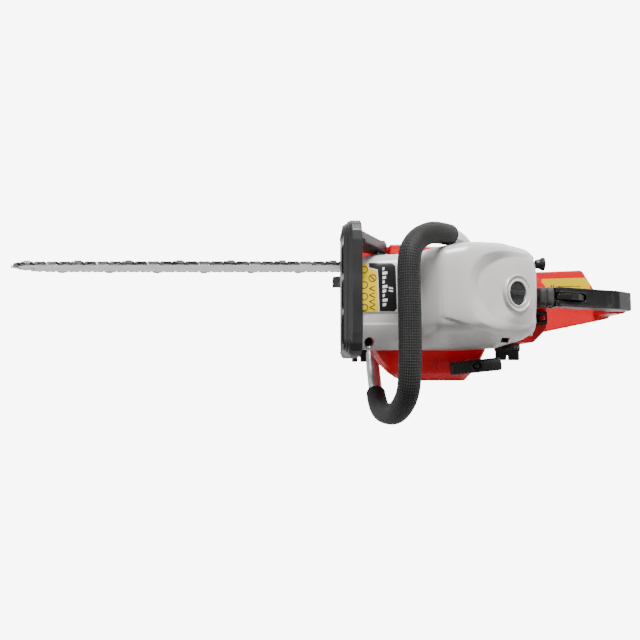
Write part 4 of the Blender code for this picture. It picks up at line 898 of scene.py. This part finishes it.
panel_normal = Vector((-math.sin(slope), 0, math.cos(slope)))
panel_place = Vector((panel_x, 0, panel_z))
knob_radius, ring_radius = 0.014, 0.0228
cutters = bmesh.new()
drum(cutters, panel_place, panel_normal, knob_radius + 0.0026, 0.03, 56)
drum(cutters, (0.0725, 0.0590, 0.168), (0, 0, 1), 0.0062, 0.05, 40)
block(cutters, (-0.100, 0.0535, 0.150), (-0.088, 0.0590, 0.20))
drum(cutters, (rear, -0.042, 0.142), (1, 0, 0), 0.0036, 0.02, 24)
shell = cut_away(shell, cutters)


def turned(bm, profile, place, axis, steps=64):
    """A profile of (radius, height) pairs spun round an axis at a place, closed on itself."""
    turn = Vector((0, 0, 1)).rotation_difference(Vector(axis)).to_matrix().to_4x4()
    matrix = Matrix.Translation(place) @ turn
    verts = [bm.verts.new(matrix @ Vector((r, 0, h))) for r, h in profile]
    edges = [bm.edges.new(pair) for pair in zip(verts, verts[1:] + verts[:1])]
    bmesh.ops.spin(bm, geom=verts + edges, cent=place, axis=axis, angle=math.tau, steps=steps, use_merge=True)


cup = bmesh.new()
turned(cup, [(knob_radius + 0.0006, -0.0085), (knob_radius + 0.003, -0.0085), (knob_radius + 0.003, 0.0),
             (knob_radius + 0.0024, 0.0009), (knob_radius + 0.0012, 0.0012), (knob_radius + 0.0006, 0.0006)],
       panel_place, panel_normal)
turned(cup, [(ring_radius - 0.0028, -0.002), (ring_radius, -0.002), (ring_radius, 0.0012),
             (ring_radius - 0.0006, 0.0019), (ring_radius - 0.0018, 0.0019), (ring_radius - 0.0028, 0.0010)],
       panel_place, panel_normal)
drum(cup, panel_place - panel_normal * 0.0098, panel_normal, knob_radius + 0.003, 0.0022, 56)
faced_out(cup)
shell = both(shell, cup)
bmesh.ops.dissolve_degenerate(shell, dist=0.00001, edges=shell.edges)
cover_top = BVHTree.FromBMesh(shell)
fit("engine_cover", shell, "saw", grey_moulding, "grey_plastic", "top_cover", smooth=17)

# ---- Labels on the cover ---------------------------------------------------
# Thin printed film pressed on the deck: a yellow panel with plain rings and bars, and a black
# one behind it with light strokes. The deck also has a sunk screw and a slot, and a black
# plate at the slot's floor is painted shade for the inside of the slot.
yellow_film = surface("yellow_film", (0.66, 0.46, 0.0), 0.5, (0.8, 0.6, 0.1), 0.0, 300.0, 0.00001, tint=0.03,
                      dusty=0.02, scuffed=0.1, shine=0.08)
black_film = surface("black_film", (0.006, 0.006, 0.007), 0.28, (0.1, 0.1, 0.1), 0.0, 300.0, 0.00001,
                     shine=0.25, dusty=0.02)
white_ink = surface("white_ink", (0.7, 0.7, 0.7), 0.5, (0.5, 0.5, 0.5), 0.0, 300.0, 0.00001)
film, ink = 0.00012, 0.0002


def pressed(name, bm, lift, base, body, material, slot):
    """A flat outline cut into small faces, laid on a surface from above and given a thickness."""
    bmesh.ops.triangulate(bm, faces=bm.faces)
    for _ in range(9):
        long = [edge for edge in bm.edges if edge.calc_length() > 0.003]
        if not long:
            break
        bmesh.ops.subdivide_edges(bm, edges=long, cuts=1)
        bmesh.ops.triangulate(bm, faces=[face for face in bm.faces if len(face.verts) > 3])
    for vert in bm.verts:
        hit = base.ray_cast(Vector((vert.co.x, vert.co.y, 0.5)), Vector((0, 0, -1)))[0]
        vert.co.z = (hit.z if hit else 0) + lift
    faced_out(bm)
    if sum(face.normal.z for face in bm.faces) < 0:
        bmesh.ops.reverse_faces(bm, faces=bm.faces)
    thickened(bm, bm.faces[:], (0, 0, -lift * 0.9))
    faced_out(bm)
    fit(name, bm, body, material, slot)


def flat(bm, *outline):
    """One flat face from its corners."""
    bm.faces.new([bm.verts.new((x, y, 0)) for x, y in outline])


def hoop_mark(bm, x, y, radius, breadth):
    """A flat ring."""
    place = Matrix.Translation((x, y, 0))
    inner = bmesh.ops.create_circle(bm, segments=24, radius=radius - breadth, matrix=place)
    outer = bmesh.ops.create_circle(bm, segments=24, radius=radius, matrix=place)
    edges = {edge for vert in inner["verts"] + outer["verts"] for edge in vert.link_edges}
    bmesh.ops.bridge_loops(bm, edges=list(edges))


label = bmesh.new()
flat(label, (0.0815, -0.037), (0.076, -0.037), (0.0745, -0.030), (0.0645, -0.027), (0.0625, 0.0225),
     (0.0815, 0.0235))
pressed("yellow_label", label, film, cover_top, "saw", yellow_film, "grey_plastic")
label = bmesh.new()
flat(label, (0.0735, -0.037), (0.0455, -0.0365), (0.0415, -0.0325), (0.0405, 0.019), (0.0435, 0.0225),
     (0.0612, 0.0225), (0.0630, -0.0285), (0.0735, -0.0315))
pressed("black_label", label, film, cover_top, "saw", black_film, "grey_plastic")
marks = bmesh.new()
ring_row, mark_x = 0.0795, 0.0735
for y in (-0.029, -0.010, 0.004, 0.0175):
    hoop_mark(marks, ring_row, y, 0.0046, 0.001)
hoop_mark(marks, 0.0695, -0.018, 0.0047, 0.0009)
flat(marks, (0.0725, -0.0205), (0.0717, -0.0213), (0.0665, -0.0155), (0.0673, -0.0147))
for y in (-0.006, 0.002, 0.010, 0.017):
    flat(marks, (mark_x, y), (mark_x, y + 0.001), (0.0665, y + 0.0045), (0.0665, y + 0.0035))
    flat(marks, (mark_x, y), (mark_x, y + 0.001), (0.0670, y - 0.0015), (0.0670, y - 0.0025))
pressed("label_print", marks, film + ink, cover_top, "saw", black_film, "grey_plastic")
strokes = bmesh.new()
stroke_x, stroke_gap, bar_from, bar_to = 0.0575, 0.0055, 0.050, 0.045
for count in range(9):
    y = -0.031 + stroke_gap * count
    low_x = stroke_x - (0.0026 + 0.0016 * ((count * 5) % 3))
    flat(strokes, (stroke_x, y), (stroke_x, y + 0.0036), (low_x, y + 0.0028), (low_x, y - 0.0006))
flat(strokes, (bar_from, -0.007), (bar_from, -0.0052), (bar_to, -0.0042), (bar_to, -0.006))
flat(strokes, (bar_from, -0.0035), (bar_from, -0.0017), (bar_to, -0.0007), (bar_to, -0.0025))
pressed("label_strokes", strokes, film + ink, cover_top, "saw", white_ink, "grey_plastic")
screw_and_slot_shade = bmesh.new()
drum(screw_and_slot_shade, (0.0725, 0.0580, 0.1535), (0, 0, 1), 0.0052, 0.006, 32)
# A black plate at the slot's floor: painted shade for the inside of the slot.
block(screw_and_slot_shade, (-0.1005, 0.0530, 0.1530), (-0.0875, 0.0595, 0.1550))
fit("cover_screw", screw_and_slot_shade, "saw", black_nylon, "black_plastic")

# ---- Cover knob ------------------------------------------------------------
# A black screw knob sunk in its cup, with a finger bar across a dished face and a beaded rim.
# It holds the cover down on the filter's housing.
knob = merged("cover_knob")
beads, bead = 14, 0.0011
side = panel_normal.orthogonal().normalized()
for count in range(beads):
    angle = math.tau * count / beads
    out = (side * math.cos(angle) + panel_normal.cross(side) * math.sin(angle)) * (knob_radius - bead)
    place = Vector((panel_x, 0, panel_z + 0.0022)) - panel_normal * 0.0045 + out
    drum(knob, place, panel_normal, bead, 0.0056, 12)
fit_moulded("cover_knob_cap", knob, 0.00055, "cover_knob", black_nylon, "black_plastic", "cover_knob")

# ---- Choke knob ------------------------------------------------------------
# A flared black cone on a thin stem, pulled back to choke the engine.
fit_moulded("choke_pull_knob", merged("choke_knob"), 0.0006, "choke", black_nylon,
            "black_plastic", "choke_knob", 3)

# ---- Hand guard ------------------------------------------------------------
# A black nylon frame with three windows that leans back on one arm. Steps run round its front
# face one inside another, and its rim is smooth and a little polished by gloves.
guard_nylon = surface("guard_nylon", (0.013, 0.014, 0.016), 0.34, (0.08, 0.083, 0.088), 0.0, 1300.0, 0.00006,
                      rubbed=0.45, dusty=0.05, shine=0.3)
guard = merged("hand_guard")
guard_low, guard_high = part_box("hand_guard")
half_y, half_z = (guard_high.y - guard_low.y) / 2, (guard_high.z - 0.1500) / 2
middle_y, middle_z = (guard_high.y + guard_low.y) / 2, guard_high.z - half_z
ledges = ((0.0022, 0.0030, 0.0062), (0.0046, 0.0058, 0.0040), (0.0066, 0.0086, 0.0022))
corner_radius, sides, buried = 0.020, 72, -0.003
for inset, forward, breadth in ledges:
    loops = []
    inner = inset + breadth
    for edge, out in ((inset, buried), (inset, forward), (inner, forward), (inner, buried)):
        corner = corner_radius - edge
        loop = []
        for count in range(sides):
            angle = math.tau * (count + 0.5) / sides
            y = math.copysign(half_y - edge - corner, math.cos(angle)) + corner * math.cos(angle)
            z = middle_z + math.copysign(half_z - edge - corner, math.sin(angle)) + corner * math.sin(angle)
            face_x = 0.107 - 0.089 * (z - 0.159)
            step = out * (1.0 if out < 0 else step_up(z, 0.150, 0.200))
            loop.append(guard.verts.new((face_x + step, middle_y + y, z)))
        loops.append(loop)
    for one, other in zip(loops, loops[1:] + loops[:1]):
        for k in range(sides):
            guard.faces.new((one[k], one[k - 1], other[k - 1], other[k]))
faced_out(guard)
fit_moulded("guard_frame", guard, 0.0007, "hand_guard", guard_nylon, "black_plastic", "hand_guard", 3)

# ---- Tank, rear plate and caps ---------------------------------------------
# The tank is a red moulding in two halves with a welded seam, one piece with the plate under
# the rear handle that a boot holds down. Its filler caps are black, with a bar to turn them.
fit_moulded("tank_moulding", merged("fuel_tank"), 0.00125, "saw", red_moulding,
            "red_plastic", "fuel_tank", 3)
tank_top = BVHTree.FromObject(bpy.data.objects["tank_moulding"], bpy.context.evaluated_depsgraph_get())
label = bmesh.new()
flat(label, (-0.19, -0.041), (-0.19, -0.0235), (-0.26, -0.0225), (-0.26, -0.034), (-0.253, -0.043))
pressed("plate_label", label, film, tank_top, "saw", yellow_film, "red_plastic")
marks = bmesh.new()
flat(marks, (-0.212, -0.0302), (-0.212, -0.0294), (-0.246, -0.0298), (-0.246, -0.0304))
for x in (-0.203, -0.206):
    flat(marks, (x, -0.0318), (x, -0.0286), (x - 0.0015, -0.0286), (x - 0.0015, -0.0318))
pressed("plate_print", marks, film + ink, tank_top, "saw", black_film, "red_plastic")
for name in ("fuel_cap", "oil_cap"):
    cap = merged(name)
    low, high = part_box(name)
    middle = (low + high) / 2
    radius = (high.x - low.x) / 2 - 0.0007
    rim_y = low.y + 0.6 * (high.y - low.y) * 0.5 + 0.004
    for count in range(20):
        angle = math.tau * count / 20
        place = (middle.x + radius * math.cos(angle), rim_y, middle.z + radius * math.sin(angle))
        drum(cap, place, (0, 1, 0), 0.0009, 0.006, 10)
    fit_moulded(name + "_moulding", cap, 0.0007, name, black_nylon, "black_plastic", name, 3)

# ---- Rear handle -----------------------------------------------------------
# A black two-part grip, well rounded, with a thumb lever let into its top, three raised bars
# near its heel, and a folded rubber boot between it and the cover.
grip_nylon = surface("grip_nylon", (0.005, 0.005, 0.0055), 0.3, (0.04, 0.04, 0.04), 0.0, 1500.0, 0.00004,
                     rubbed=0.35, dusty=0.03, shine=0.25)
low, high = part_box("rear_grip")
rear_grip = merged("rear_grip")
fall, first_bar, bar_gap = 44 / 99, -0.2452, 0.0032
for count in range(3):
    x = first_bar - bar_gap * count
    z = high.z + 0.0035 + (x - high.x) * fall
    block(rear_grip, (x - 0.0006, -0.0085, z - 0.006), (x + 0.0006, 0.0085, z + 0.0006))
fit_moulded("grip_moulding", rear_grip, 0.001, "saw", grip_nylon, "black_plastic", "rear_grip", 7)
fit_moulded("trigger_blade", merged("throttle_trigger"), 0.0006, "trigger", black_nylon,
            "black_plastic", "throttle_trigger", 3)
fit_moulded("lockout_blade", merged("throttle_lockout"), 0.0006, "lockout", grip_nylon,
            "black_plastic", "throttle_lockout", 3)
boot_low, boot_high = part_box("grip_boot")
boot = bmesh.new()
rings = []
folds = 48
for count in range(folds + 1):
    share = count / folds
    x = boot_high.x - 0.0003 - share * (boot_high.x - boot_low.x - 0.0006)
    swell = 0.88 + 0.12 * abs(math.sin(share * math.pi * 2)) ** 0.5
    ring = bmesh.ops.create_circle(boot, segments=64, radius=1)["verts"]
    for vert in ring:
        angle = math.atan2(vert.co.y, vert.co.x)
        flat_side = math.copysign(abs(math.cos(angle)) ** 0.45, math.cos(angle))
        flat_end = math.copysign(abs(math.sin(angle)) ** 0.45, math.sin(angle))
        vert.co = (x, boot_high.y * swell * flat_side,
                   (boot_low.z + boot_high.z) / 2 + (boot_high.z - boot_low.z) / 2 * swell * flat_end)
    rings.append(list({edge for vert in ring for edge in vert.link_edges}))
fit("folded_boot", rings_joined(boot, rings, 64), "saw", soft_rubber, "black_rubber", "grip_boot", smooth=60)

# ---- Stop switch -----------------------------------------------------------
# A red toggle in a black housing behind the cover, within the thumb's reach.
fit_moulded("switch_case", merged("switch_housing"), 0.0006, "saw", black_nylon,
            "black_plastic", "switch_housing")
fit_moulded("switch_toggle", merged("stop_switch"), 0.0005, "stop_switch", red_moulding,
            "red_plastic", "stop_switch")
